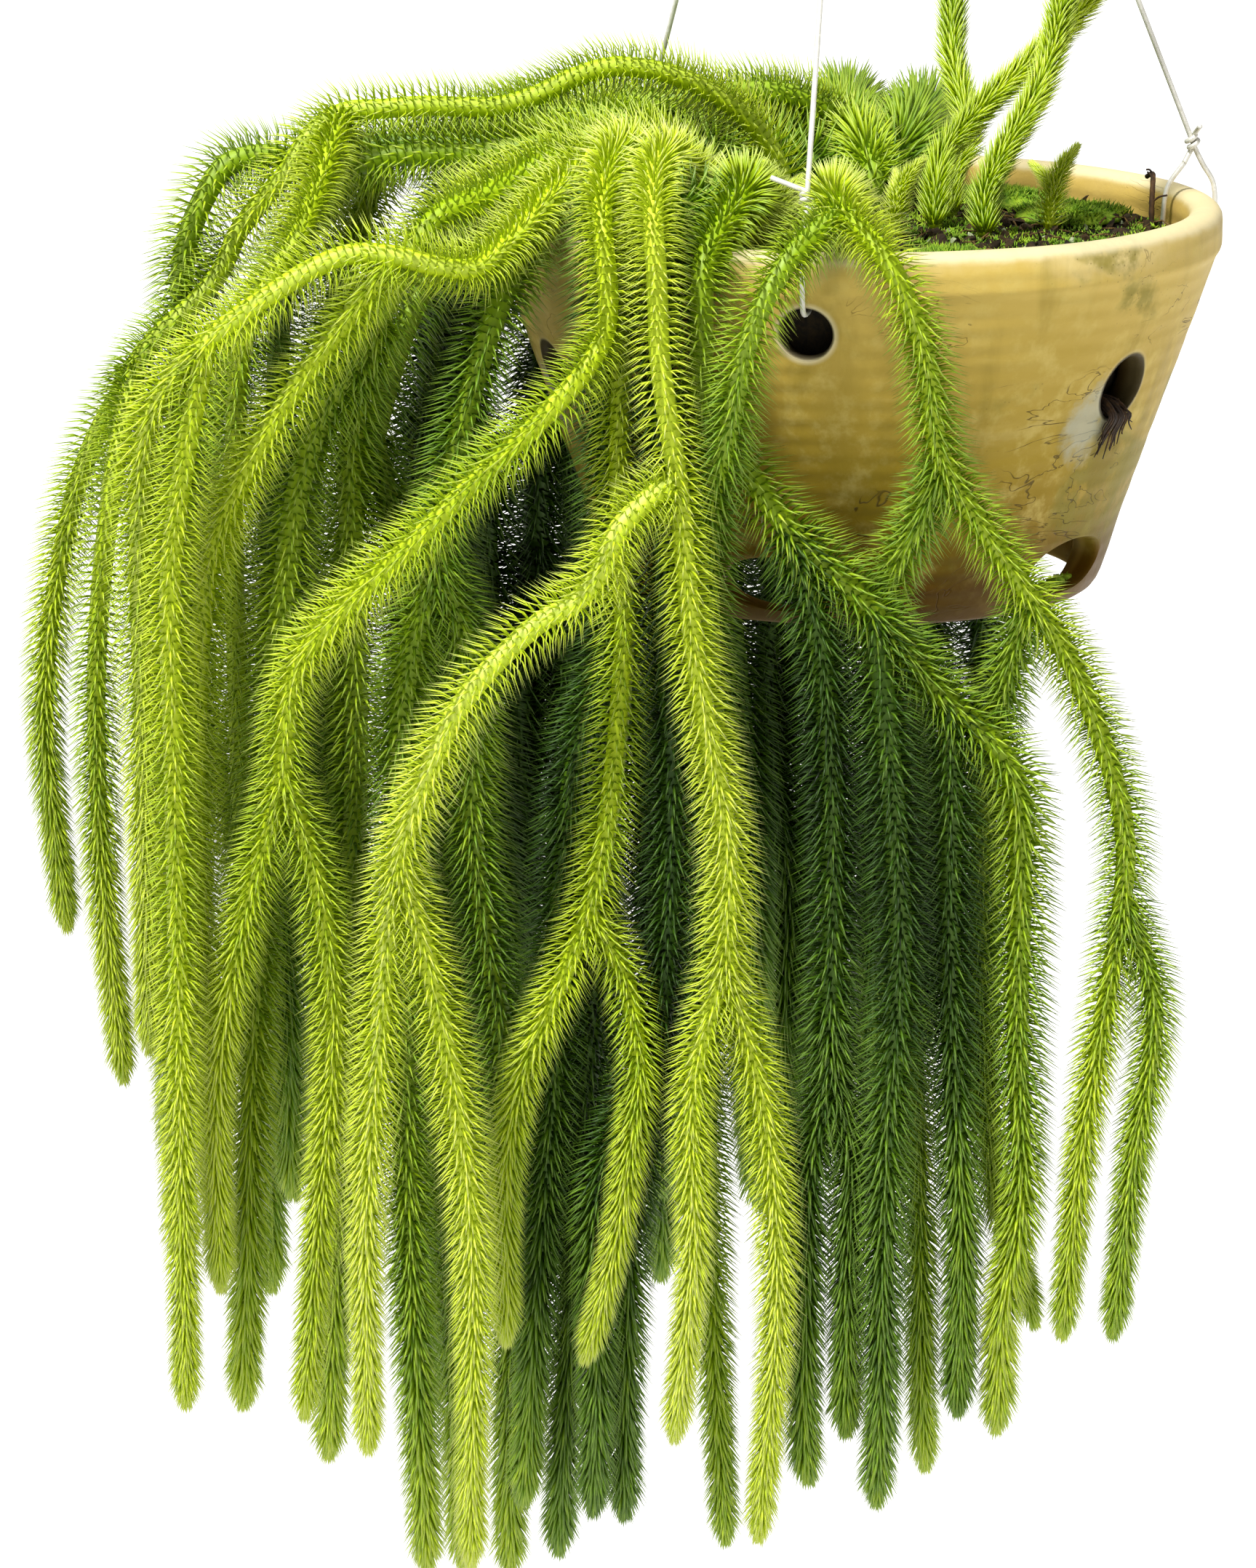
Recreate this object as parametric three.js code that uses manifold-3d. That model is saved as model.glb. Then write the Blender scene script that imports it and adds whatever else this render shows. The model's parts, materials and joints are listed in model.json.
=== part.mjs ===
// Clubmoss in a hanging orchid pot: a pierced terracotta pot on three wires and a hook, filled with
// bark mix, with forked trailing shoots that arch over the rim and hang. Millimetres, +Z up.
// Heights in the sizes below are measured from the rim plane. The part's origin is where the hook hangs.
import * as THREE from 'three';
import { mergeVertices } from 'three/addons/utils/BufferGeometryUtils.js';
import Module from 'manifold-3d';

const wasm = await Module();
wasm.setup();

const CLEARANCE = 0.3; // gap between pieces that touch

const POT = {
  rimRadius: 110,
  wall: 9,
  height: 115,
  collarHeight: 12,
  collarStep: 1.7,
  heelRadius: 81, // outer radius where the taper ends
  heelHeight: 22,
  footRadius: 73,
  baseHeight: 23, // underside of the base above the foot
  baseThickness: 8,
  footWall: 6,
  drainRadius: 10,
  sides: 40,
};
const HANG_HOLES = { azimuths: [-10, 101, 217], radius: 7.5, depth: 23 };
const VENTS = { count: 3, firstAzimuth: 52, radius: 9.3, depth: 46 };
const FOOT_ARCHES = { count: 5, firstAzimuth: 53.5, width: 36, height: 16, lip: 5, sides: 14 };
const SOIL = { depth: 9, pocketRadius: 7, pocketDepth: 16 };
const WIRE = { radius: 0.8, rise: 256, twistHeight: 13.5, tail: 11 };
const HOOK = { radius: 1.75, upperBend: 14, lowerBend: 8, shank: 30, eyeSpread: 28 };
const SHOOT = { radius: 3.6, branchRadius: 3.3, sides: 5, tolerance: 0.8, rootRise: 14 };
const GROWTH = { step: 12, shootGap: 5.8, potGap: 3.4, wireGap: 4.6, rounds: 90, stiffStart: 40 };
const SPROUT = { radius: 1.8, height: 24 };
const TWIG = { radius: 0.9, height: 15, setback: 9 };

const hookLowerCentre = WIRE.rise + HOOK.lowerBend;
const hookUpperCentre = hookLowerCentre + HOOK.shank;
const rimDrop = hookUpperCentre + HOOK.upperBend - HOOK.radius;
const soilTop = -SOIL.depth;
const ground = soilTop + CLEARANCE; // where everything that grows on the soil starts
const shootSpacing = 2 * SHOOT.radius + GROWTH.shootGap; // these three are between middle lines
const potSpacing = SHOOT.radius + GROWTH.potGap;
const wireSpacing = SHOOT.radius + WIRE.radius + GROWTH.wireGap;

const COLORS = {
  pot: { color: 0xc0a75a, roughness: 0.7, metalness: 0 },
  soil: { color: 0x2b2118, roughness: 0.95, metalness: 0 },
  moss: { color: 0x5d7d1c, roughness: 0.9, metalness: 0 },
  leaf: { color: 0x8db800, roughness: 0.55, metalness: 0 },
  root: { color: 0x3a2617, roughness: 0.9, metalness: 0 },
  wire: { color: 0xc9c9c4, roughness: 0.35, metalness: 1 },
};

// Solids -------------------------------------------------------------------------------------

function solid(geometry) {
  geometry.deleteAttribute('normal');
  geometry.deleteAttribute('uv');
  const merged = mergeVertices(geometry, 1e-4);
  const faces = [];
  for (let i = 0; i < merged.index.count; i += 3) {
    const [a, b, c] = [0, 1, 2].map((k) => merged.index.getX(i + k));
    if (a !== b && b !== c && c !== a) faces.push(a, b, c);
  }
  const mesh = new wasm.Mesh({
    numProp: 3,
    vertProperties: new Float32Array(merged.attributes.position.array),
    triVerts: new Uint32Array(faces),
  });
  const body = new wasm.Manifold(mesh);
  return body.volume() < 0 ? flipped(mesh) : body;
}

function flipped(mesh) {
  const faces = mesh.triVerts.slice();
  for (let i = 0; i < faces.length; i += 3) [faces[i], faces[i + 1]] = [faces[i + 1], faces[i]];
  return new wasm.Manifold(
    new wasm.Mesh({ numProp: 3, vertProperties: mesh.vertProperties, triVerts: faces }),
  );
}

function union(bodies) {
  return bodies.reduce((whole, body) => whole.add(body));
}

function node(name, body, material) {
  const mesh = body.getMesh();
  const geometry = new THREE.BufferGeometry();
  geometry.setAttribute('position', new THREE.BufferAttribute(mesh.vertProperties, 3));
  geometry.setIndex(new THREE.BufferAttribute(mesh.triVerts, 1));
  geometry.computeVertexNormals();
  const result = new THREE.Mesh(geometry, new THREE.MeshStandardMaterial(COLORS[material]));
  result.name = name;
  return result;
}

function ringShape(radius, sides) {
  const shape = new THREE.Shape();
  for (let i = 0; i < sides; i++) {
    const turn = (2 * Math.PI * i) / sides;
    shape[i ? 'lineTo' : 'moveTo'](radius * Math.cos(turn), radius * Math.sin(turn));
  }
  shape.closePath();
  return shape;
}

// A curve whose sections stand at its own points, so that tight bends get more of them.
class PointedCurve extends THREE.CatmullRomCurve3 {
  getPointAt(u, target) {
    return this.getPoint(u, target);
  }

  getTangentAt(u, target) {
    return this.getTangent(u, target);
  }
}

function tube(points, radius, sides) {
  const extrudePath = new PointedCurve(points);
  const options = { steps: points.length - 1, extrudePath };
  return solid(new THREE.ExtrudeGeometry(ringShape(radius, sides), options));
}

// Drops the points that lie within a shoot's tolerance of the straight line past them. The first
// length stays, so that a root leaves the soil upright.
function thinned(points) {
  const kept = points.slice(0, 2);
  const chord = new THREE.Line3();
  const nearest = new THREE.Vector3();
  let from = 1;
  for (let to = 3; to < points.length; to++) {
    chord.set(points[from], points[to]);
    const skipped = points.slice(from + 1, to);
    const off = skipped.map((point) => chord.closestPointToPoint(point, true, nearest).distanceTo(point));
    if (Math.max(...off) > SHOOT.tolerance) {
      from = to - 1;
      kept.push(points[from]);
    }
  }
  return [...kept, points.at(-1)];
}

// The direction at an azimuth: 0 is the front, -Y, and 90 is the right, +X.
function outward(azimuth) {
  const turn = THREE.MathUtils.degToRad(azimuth);
  return new THREE.Vector3(Math.sin(turn), -Math.cos(turn), 0);
}

function polar(azimuth, radius, height) {
  return outward(azimuth).multiplyScalar(radius).setZ(height);
}

function azimuths({ count, firstAzimuth }) {
  return Array.from({ length: count }, (_, i) => firstAzimuth + (360 / count) * i);
}

// Pot ----------------------------------------------------------------------------------------

const potOutline = [
  [POT.rimRadius - 3, 0],
  [POT.rimRadius - 0.8, -1],
  [POT.rimRadius, -3.2],
  [POT.rimRadius, -POT.collarHeight],
  [POT.rimRadius - POT.collarStep, -POT.collarHeight - 2],
  [POT.heelRadius, -POT.height + POT.heelHeight],
  [POT.footRadius + 3.8, -POT.height + 8],
  [POT.footRadius + 1.8, -POT.height + 2],
  [POT.footRadius, -POT.height],
];

function outerRadius(height) {
  const after = potOutline.findIndex(([, z]) => z <= height);
  if (after === 0) return POT.rimRadius;
  if (after < 0) return POT.footRadius;
  const [[r0, z0], [r1, z1]] = [potOutline[after - 1], potOutline[after]];
  return r0 + ((r1 - r0) * (height - z0)) / (z1 - z0);
}

const innerRadius = (height) => Math.min(outerRadius(height), POT.rimRadius - POT.collarStep) - POT.wall;
const baseUnder = -POT.height + POT.baseHeight;
const baseTop = baseUnder + POT.baseThickness;

function lathe(points) {
  return solid(new THREE.LatheGeometry(points.map(([r, z]) => new THREE.Vector2(r, z)), POT.sides))
    .rotate([90, 0, 0]);
}

function drill({ radius, depth }, azimuth) {
  const bit = new THREE.CylinderGeometry(radius, radius, POT.rimRadius, 16);
  bit.rotateZ(-Math.PI / 2);
  bit.translate(POT.rimRadius, 0, -depth);
  bit.rotateZ(THREE.MathUtils.degToRad(azimuth - 90));
  return solid(bit);
}

function footArch(azimuth) {
  const { width, height, sides, lip } = FOOT_ARCHES;
  const shape = new THREE.Shape();
  for (let i = 0; i < sides; i++) {
    const turn = (2 * Math.PI * i) / sides;
    shape[i ? 'lineTo' : 'moveTo']((width / 2) * Math.cos(turn), (height / 2) * Math.sin(turn));
  }
  shape.closePath();
  const cutter = new THREE.ExtrudeGeometry(shape, { depth: POT.heelRadius, bevelEnabled: false });
  cutter.rotateX(Math.PI / 2);
  cutter.translate(0, -POT.footRadius / 2, -POT.height + lip + height / 2);
  cutter.rotateZ(THREE.MathUtils.degToRad(azimuth));
  return solid(cutter);
}

function buildPot() {
  const lipTop = [POT.rimRadius - POT.wall / 2, 0.6];
  const inside = [
    [POT.footRadius - POT.footWall, -POT.height],
    [innerRadius(baseUnder), baseUnder],
    [POT.drainRadius, baseUnder],
    [POT.drainRadius, baseTop],
    [innerRadius(baseTop), baseTop],
    [innerRadius(-POT.collarHeight - 2), -POT.collarHeight - 2],
    [innerRadius(-3), -3],
    [innerRadius(-3) + 2, -0.4],
  ];
  const cuts = [
    ...HANG_HOLES.azimuths.map((azimuth) => drill(HANG_HOLES, azimuth)),
    ...azimuths(VENTS).map((azimuth) => drill(VENTS, azimuth)),
    ...azimuths(FOOT_ARCHES).map(footArch),
  ];
  return lathe([lipTop, ...potOutline, ...inside, lipTop]).subtract(union(cuts));
}

// Filling ------------------------------------------------------------------------------------

function buildSoil() {
  const edge = (height) => innerRadius(height) - CLEARANCE;
  const body = lathe([
    [0, soilTop],
    [edge(soilTop), soilTop],
    [edge(-POT.collarHeight - 2), -POT.collarHeight - 2],
    [edge(baseTop), baseTop + CLEARANCE],
    [0, baseTop + CLEARANCE],
  ]);
  const pockets = HANG_HOLES.azimuths.map((azimuth) => {
    const pocket = new THREE.CylinderGeometry(SOIL.pocketRadius, SOIL.pocketRadius, 2 * SOIL.pocketDepth, 12);
    pocket.rotateX(Math.PI / 2);
    const { x, y } = polar(azimuth, innerRadius(soilTop) - SOIL.pocketRadius / 2, 0);
    pocket.translate(x, y, soilTop);
    return solid(pocket);
  });
  return body.subtract(union(pockets));
}

function buildMoss({ at: [x, y], radius, height }) {
  const rows = 3;
  const profile = [[0, 0]];
  for (let i = 0; i <= rows; i++) {
    const turn = (Math.PI / 2) * (i / rows);
    profile.push([radius * Math.cos(turn), 1 + height * Math.sin(turn)]);
  }
  profile.splice(1, 0, [radius, 0]);
  profile[profile.length - 1][0] = 0;
  const dome = new THREE.LatheGeometry(profile.map(([r, z]) => new THREE.Vector2(r, z)), 14);
  dome.rotateX(Math.PI / 2);
  const place = onPlan([x, y, 0]);
  dome.translate(place.x, place.y, ground);
  return solid(dome);
}

function buildRootTuft() {
  const [azimuth] = azimuths(VENTS);
  const low = -VENTS.depth - VENTS.radius;
  const wallAt = outerRadius(-VENTS.depth);
  const knot = new THREE.SphereGeometry(4, 8, 5);
  knot.scale(1, 1, 0.6);
  const { x, y, z } = polar(azimuth, wallAt - POT.wall / 2, low + 3.5);
  knot.translate(x, y, z);
  const strands = [-3.2, -1, 1.4, 3.6].map((side, i) => {
    const drop = [11, 19, 15, 8][i];
    const across = side / wallAt * (180 / Math.PI);
    const past = (height) => outerRadius(height) + 2.2;
    return tube(
      [
        polar(azimuth, wallAt - POT.wall / 2, low + 3.2),
        polar(azimuth + across * 0.7, wallAt + 0.6, low + 3),
        polar(azimuth + across, past(low) + 0.6, low - 0.5),
        polar(azimuth + across * 1.2, past(low - drop / 2), low - drop / 2),
        polar(azimuth + across * 1.1, past(low - drop), low - drop),
      ],
      0.8,
      4,
    );
  });
  return union([solid(knot), ...strands]);
}

function buildTwig() {
  const radius = innerRadius(soilTop) - TWIG.setback;
  return tube(
    [
      polar(96, radius, ground),
      polar(96, radius, ground + TWIG.height * 0.5),
      polar(97, radius + 0.5, ground + TWIG.height * 0.85),
      polar(100, radius + 1.5, ground + TWIG.height),
      polar(103, radius + 1.2, ground + TWIG.height * 0.9),
    ],
    TWIG.radius,
    6,
  );
}

function buildSprout({ at: [x, y], lean }) {
  const base = onPlan([x, y, 0]).setZ(ground);
  const up = (sideways, share) => base.clone().add(polar(lean, sideways, SPROUT.height * share));
  const stem = tube([base, up(0.5, 0.35), up(4, 0.75), up(9, 1)], SPROUT.radius, 5);
  const fork = base.clone().add(polar(lean, 2, SPROUT.height * 0.5));
  const side = base.clone().add(polar(lean + 110, 6, SPROUT.height * 0.8));
  return union([stem, tube([up(1, 0.3), fork, side], SPROUT.radius, 5)]);
}

// Wires and hook -----------------------------------------------------------------------------

function arcPoints(centre, radius, from, to, count) {
  return Array.from({ length: count }, (_, i) => {
    const turn = THREE.MathUtils.degToRad(from + ((to - from) * i) / (count - 1));
    return new THREE.Vector3(radius * Math.cos(turn), 0, centre + radius * Math.sin(turn));
  });
}

function buildHook() {
  const path = [
    ...arcPoints(hookUpperCentre, HOOK.upperBend, -35, 180, 13),
    ...arcPoints(hookLowerCentre, HOOK.lowerBend, 0, -205, 12),
  ];
  return tube(path, HOOK.radius, 6);
}

// The eye goes round the hook's lower bend, the stem runs to the rim, and the loop passes through
// the hanging hole from outside, comes up inside the wall and ends in a short tail at the twist.
function wirePath(azimuth, eyeTurn) {
  const eyeRadius = HOOK.radius + WIRE.radius + CLEARANCE + 0.1;
  const turn = THREE.MathUtils.degToRad(eyeTurn);
  const outOfBend = new THREE.Vector3(Math.sin(turn), 0, -Math.cos(turn));
  const eyeCentre = outOfBend.clone().multiplyScalar(HOOK.lowerBend);
  eyeCentre.z += hookLowerCentre;
  const side = Math.sign(outward(azimuth).y);
  const eye = [300, 255, 210, 165, 120, 75, 30].map((degrees) => {
    const t = THREE.MathUtils.degToRad(degrees);
    const point = outOfBend.clone().multiplyScalar(eyeRadius * Math.cos(t));
    point.y -= side * eyeRadius * Math.sin(t);
    return point.add(eyeCentre);
  });
  const leave = eyeCentre.clone().addScaledVector(outOfBend, eyeRadius + 0.6);
  leave.y += side * 1.2;

  const wallMiddle = POT.rimRadius - POT.wall / 2;
  const twist = polar(azimuth, wallMiddle, WIRE.twistHeight);
  const holeTop = -HANG_HOLES.depth + HANG_HOLES.radius - WIRE.radius - CLEARANCE - 0.1;
  const out = POT.rimRadius + WIRE.radius + 1.4;
  const back = innerRadius(holeTop) - WIRE.radius - 1.4;
  const loop = [
    [wallMiddle + 2.6, WIRE.twistHeight - 5],
    [out - 0.8, 3],
    [out, -5],
    [out - 0.6, holeTop + 2.6],
    [out - 3.4, holeTop + 0.1],
    [back + 1.6, holeTop],
    [back - 0.2, holeTop + 2.4],
    [back - 0.3, -7],
    [back + 1, 2],
    [wallMiddle - 3.4, WIRE.twistHeight - 4.5],
  ].map(([radius, height]) => polar(azimuth, radius, height));

  const stemWay = leave.clone().sub(twist).normalize();
  const beside = outward(azimuth + 90).multiplyScalar(-(2 * WIRE.radius + CLEARANCE + 0.2));
  const crossing = twist.clone().add(beside).addScaledVector(stemWay, 0.8);
  const tail = crossing.clone().addScaledVector(beside, 1.2).addScaledVector(stemWay, 2.5);
  const tailEnd = tail.clone().addScaledVector(beside.clone().normalize(), WIRE.tail);
  return [
    ...eye,
    leave,
    leave.clone().lerp(twist, 0.03),
    leave.clone().lerp(twist, 0.5),
    leave.clone().lerp(twist, 0.97),
    twist,
    ...loop,
    crossing,
    tail,
    tailEnd,
  ];
}

const WIRES = [
  { name: 'wire_front', hole: 0, eyeTurn: 0 },
  { name: 'wire_right', hole: 1, eyeTurn: HOOK.eyeSpread },
  { name: 'wire_back', hole: 2, eyeTurn: -HOOK.eyeSpread },
].map((wire) => ({ ...wire, path: wirePath(HANG_HOLES.azimuths[wire.hole], wire.eyeTurn) }));

// Plant --------------------------------------------------------------------------------------

// Each shoot starts at a root on the soil and follows a line drawn by hand, on a 5 mm grid, for a
// pot of planRadius. A fork is [point of its parent's line where it starts, line, forks of its own].
const planRadius = 110;
const PLAN = [
  ['shoot_front', [-46, -54],
    [[-58, -80, 24], [-60, -110, 4], [-60, -125, -25], [-55, -130, -60], [-50, -130, -110],
      [-40, -125, -170], [-40, -120, -205], [-30, -120, -245], [-25, -120, -300], [-30, -120, -380]],
    [[3, [[-70, -140, -70], [-80, -140, -90], [-95, -140, -100], [-115, -145, -120], [-125, -145, -140],
      [-135, -140, -170], [-140, -140, -215], [-145, -140, -280], [-145, -140, -345]],
    [[5, [[-125, -140, -205], [-115, -140, -270], [-115, -140, -380]], []]]],
    [6, [[-50, -125, -240], [-50, -130, -290], [-55, -130, -345]], []]]],
  ['shoot_left_front', [-62, -42],
    [[-71, -66, 24], [-76, -98, 14], [-75, -115, -20], [-90, -125, -40], [-110, -120, -60], [-130, -120, -80],
      [-150, -115, -100], [-165, -110, -120], [-170, -110, -155], [-180, -110, -190],
      [-190, -105, -245], [-190, -105, -305]],
    [[8, [[-160, -110, -180], [-155, -110, -225], [-160, -110, -285], [-165, -110, -345]], []]]],
  ['shoot_centre', [-58, -72],
    [[-66, -88, 10], [-70, -100, -15], [-70, -105, -60], [-70, -105, -110], [-75, -110, -165],
      [-80, -110, -190], [-90, -115, -215], [-100, -115, -240], [-105, -115, -275], [-105, -115, -320]],
    [[5, [[-70, -110, -210], [-65, -115, -235], [-70, -115, -265], [-75, -115, -295],
      [-80, -115, -325]], []]]],
  ['shoot_right_arch', [-6, -66],
    [[-10, -105, 15], [5, -125, 0], [15, -125, -25], [20, -120, -55], [45, -115, -95], [60, -110, -120],
      [75, -110, -165], [75, -110, -190], [70, -110, -225], [65, -110, -260], [60, -110, -320]],
    [[7, [[85, -110, -220], [80, -110, -265], [75, -110, -320]], []],
      [3, [[15, -110, -75], [5, -100, -100], [10, -100, -140], [15, -100, -230], [20, -100, -365]], []],
      [4, [[40, -105, -125], [35, -100, -175], [35, -100, -230], [40, -100, -275], [50, -100, -320]], []],
      [0, [[-25, -125, 0], [-35, -130, -20], [-40, -125, -45], [-45, -110, -80], [-45, -105, -130],
        [-45, -105, -200], [-45, -110, -290], [-40, -110, -385]], []]]],
  ['shoot_diagonal', [-30, -52],
    [[-44, -84, 10], [-48, -110, -18], [-45, -115, -50], [-25, -115, -75], [0, -115, -100],
      [20, -110, -125], [40, -110, -145], [45, -105, -180], [45, -105, -230], [45, -105, -290],
      [40, -105, -350]],
    [[3, [[-15, -115, -105], [-10, -110, -155], [-10, -110, -225], [-15, -110, -300], [-15, -110, -365]],
      [[2, [[-5, -110, -270], [-5, -110, -350]], []]]],
    [4, [[5, -120, -130], [10, -120, -200], [5, -115, -285], [5, -115, -370]], []],
    [5, [[25, -110, -155], [25, -110, -200], [30, -105, -275], [30, -105, -345]], []]]],
  ['shoot_horizontal', [-46, -30],
    [[-62, -44, 20], [-87, -64, 14], [-102, -86, 2], [-115, -100, -5], [-135, -105, 0], [-150, -105, 0],
      [-170, -110, -10], [-190, -110, -25], [-205, -105, -45], [-210, -100, -80], [-210, -100, -135],
      [-210, -100, -235]],
    [[4, [[-150, -100, -20], [-165, -100, -40], [-180, -100, -65], [-190, -95, -90], [-195, -95, -140],
      [-195, -95, -205], [-190, -95, -310]], []],
    [7, [[-195, -115, -55], [-200, -115, -90], [-200, -115, -150], [-200, -115, -245],
      [-200, -115, -340]], []]]],
  ['shoot_second_row', [-52, -8],
    [[-75, -35, 10], [-100, -55, 10], [-125, -70, 5], [-140, -80, -20], [-160, -80, -55],
      [-170, -85, -105], [-175, -85, -160], [-180, -85, -230], [-185, -85, -350]],
    [[3, [[-150, -70, -60], [-150, -70, -105], [-150, -70, -165], [-155, -75, -260],
      [-160, -75, -370]], []]]],
  ['shoot_ridge', [-22, 14],
    [[-30, 15, 20], [-50, 10, 35], [-75, 5, 40], [-105, -5, 30], [-135, -10, 30], [-155, -10, 25],
      [-180, -15, 5], [-195, -20, -20], [-215, -25, -45], [-230, -30, -70], [-240, -30, -105],
      [-245, -35, -150], [-240, -35, -215]],
    [[8, [[-220, -50, -75], [-225, -60, -125], [-225, -60, -190], [-220, -60, -255]], []],
      [5, [[-165, -45, -5], [-180, -60, -30], [-185, -60, -75], [-185, -60, -140], [-185, -60, -215],
        [-195, -60, -290]], []]]],
  ['shoot_back_ridge', [-48, 26],
    [[-90, 45, 20], [-120, 45, 15], [-150, 40, 5], [-175, 35, -25], [-195, 30, -60], [-200, 25, -110],
      [-205, 20, -185], [-210, 20, -275]],
    [[2, [[-160, 50, -40], [-170, 50, -115], [-170, 50, -220], [-170, 50, -325]], []]]],
  ['shoot_back_arch', [6, 34],
    [[5, 60, 10], [-20, 55, 25], [-50, 50, 25], [-85, 60, 15], [-110, 80, -10], [-120, 85, -60],
      [-125, 85, -150], [-130, 85, -255], [-130, 85, -360]],
    []],
  ['shoot_left_mid', [-72, -24],
    [[-90, -50, 5], [-105, -85, -15], [-115, -90, -45], [-125, -90, -90], [-135, -90, -135],
      [-135, -90, -195], [-135, -90, -265], [-130, -90, -400]],
    [[3, [[-115, -85, -125], [-115, -80, -175], [-105, -80, -255], [-105, -80, -405]], []]]],
  ['shoot_left_side', [-74, 2],
    [[-105, -15, 5], [-130, -45, -20], [-145, -55, -65], [-155, -60, -110], [-155, -60, -165],
      [-155, -60, -240], [-155, -60, -290], [-160, -60, -345]],
    [[2, [[-135, -50, -110], [-130, -50, -170], [-125, -50, -265], [-120, -50, -415]], []]]],
  ['shoot_under_left', [-63, -56],
    [[-72, -78, 8], [-75, -95, -25], [-75, -90, -70], [-75, -95, -115], [-85, -95, -155],
      [-90, -100, -230], [-95, -100, -300], [-100, -100, -375]],
    [[4, [[-80, -95, -205], [-85, -90, -305], [-90, -90, -395]], []]]],
  ['shoot_under_middle', [-44, -74],
    [[-54, -92, 12], [-60, -105, -15], [-60, -105, -85], [-55, -105, -155], [-60, -105, -225],
      [-70, -100, -290], [-70, -100, -380]],
    [[4, [[-75, -110, -280], [-80, -110, -375]], []]]],
  ['upright_leaning', [24, 6],
    [[25, 10, 10], [40, 5, 30], [55, 0, 45], [70, -5, 65], [80, -5, 90], [85, -5, 110]], []],
  ['upright_right', [38, -12],
    [[40, -12, 10], [45, -15, 20], [55, -15, 40], [60, -20, 65], [65, -20, 90], [70, -20, 110]], []],
  ['upright_straight', [30, 30], [[35, 30, 15], [30, 35, 40], [30, 35, 60], [25, 40, 85]], []],
];

// Shoots over the back rim, side by side: azimuth, root radius, reach past the rim, length.
const BACK_SHOOTS = [
  [166, 52, 24, 350],
  [180, 64, 32, 395],
  [194, 50, 24, 370],
  [208, 46, 34, 410],
  [222, 60, 26, 390],
  [236, 72, 34, 405],
  [250, 64, 24, 370],
  [262, 72, 64, 345],
  [274, 60, 92, 320],
];

function backPlan([azimuth, rootRadius, reach, length], index) {
  const at = (turn, radius, height) => polar(azimuth + turn, radius, height).round().toArray();
  const out = planRadius + reach;
  const line = [
    at(0, 88, 12),
    at(0, out - 14, 10),
    at(1, out, -20),
    at(2, out + 4, -70),
    at(2, out + 6, -130),
    at(4, out + 8, -length * 0.7),
    at(5, out + 8, -length),
  ];
  const near = [at(-4, out + 6, -110), at(-6, out + 8, -length * 0.6), at(-6, out + 10, -length * 0.94)];
  const far = [at(6, out + 4, -175), at(9, out + 2, -length * 0.7), at(9, out, -length * 0.9)];
  const inner = [at(1, out - 10, -185), at(0, out - 18, -length * 0.68), at(0, out - 20, -length * 0.84)];
  const forks = [[3, near, []], [4, far, []], [4, inner, []]];
  const root = polar(azimuth, rootRadius, 0).round();
  return [`shoot_back_${index + 1}`, [root.x, root.y], line, forks];
}

// A plan point keeps its distance past the rim, or its share of the way inside it.
function onPlan([x, y, z]) {
  const reach = Math.hypot(x, y);
  const moved = reach < planRadius
    ? (reach * POT.rimRadius) / planRadius
    : reach + POT.rimRadius - planRadius;
  return new THREE.Vector3((x * moved) / reach, (y * moved) / reach, z);
}

// Strands are the unforked lengths of a shoot, as points a growth step apart, parents first.
function growStrands(shoot, line, forks, start, parent, found) {
  const targets = [...start, ...line.map(onPlan)];
  const curve = new THREE.CatmullRomCurve3(targets);
  const points = curve.getSpacedPoints(Math.round(curve.getLength() / GROWTH.step));
  const strand = { shoot, points, parent };
  found.push(strand);
  for (const [at, forkLine, ownForks] of forks) {
    const target = onPlan(line[at]);
    const distances = points.map((point) => point.distanceTo(target));
    const from = distances.indexOf(Math.min(...distances));
    growStrands(shoot, forkLine, ownForks, [points[from]], { strand, from }, found);
  }
  return found;
}

function plantStrands() {
  return [...PLAN, ...BACK_SHOOTS.map(backPlan)].flatMap(([name, [x, y], line, forks]) => {
    const root = onPlan([x, y, 0]).setZ(ground);
    const start = [root, root.clone().setZ(ground + SHOOT.rootRise)];
    const strands = growStrands(name, line, forks, start, null, []);
    strands[0].points[1].setX(root.x).setY(root.y); // its foot stands level on the soil
    return strands;
  });
}

// Places on the wires that shoots keep clear of.
function wireObstacles() {
  return WIRES.flatMap(({ path }) => {
    const curve = new THREE.CatmullRomCurve3(path);
    return curve.getSpacedPoints(Math.round(curve.getLength() / GROWTH.step));
  });
}

function pushOffPot({ x, y, z }) {
  const radius = Math.hypot(x, y);
  const outer = outerRadius(Math.min(z, 0)) + potSpacing;
  const inner = innerRadius(Math.min(z, 0)) - potSpacing;
  const floor = soilTop + potSpacing;
  if (radius < inner && z < floor && z > baseTop) return new THREE.Vector3(0, 0, floor - z);
  if (z > potSpacing || z < -POT.height || radius > outer || radius < inner) return new THREE.Vector3();
  const ways = [outer - radius, radius - inner, potSpacing - z];
  const least = ways.indexOf(Math.min(...ways));
  if (least === 2) return new THREE.Vector3(0, 0, ways[2]);
  return new THREE.Vector3(x, y, 0).multiplyScalar((least ? -ways[1] : ways[0]) / radius);
}

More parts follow.
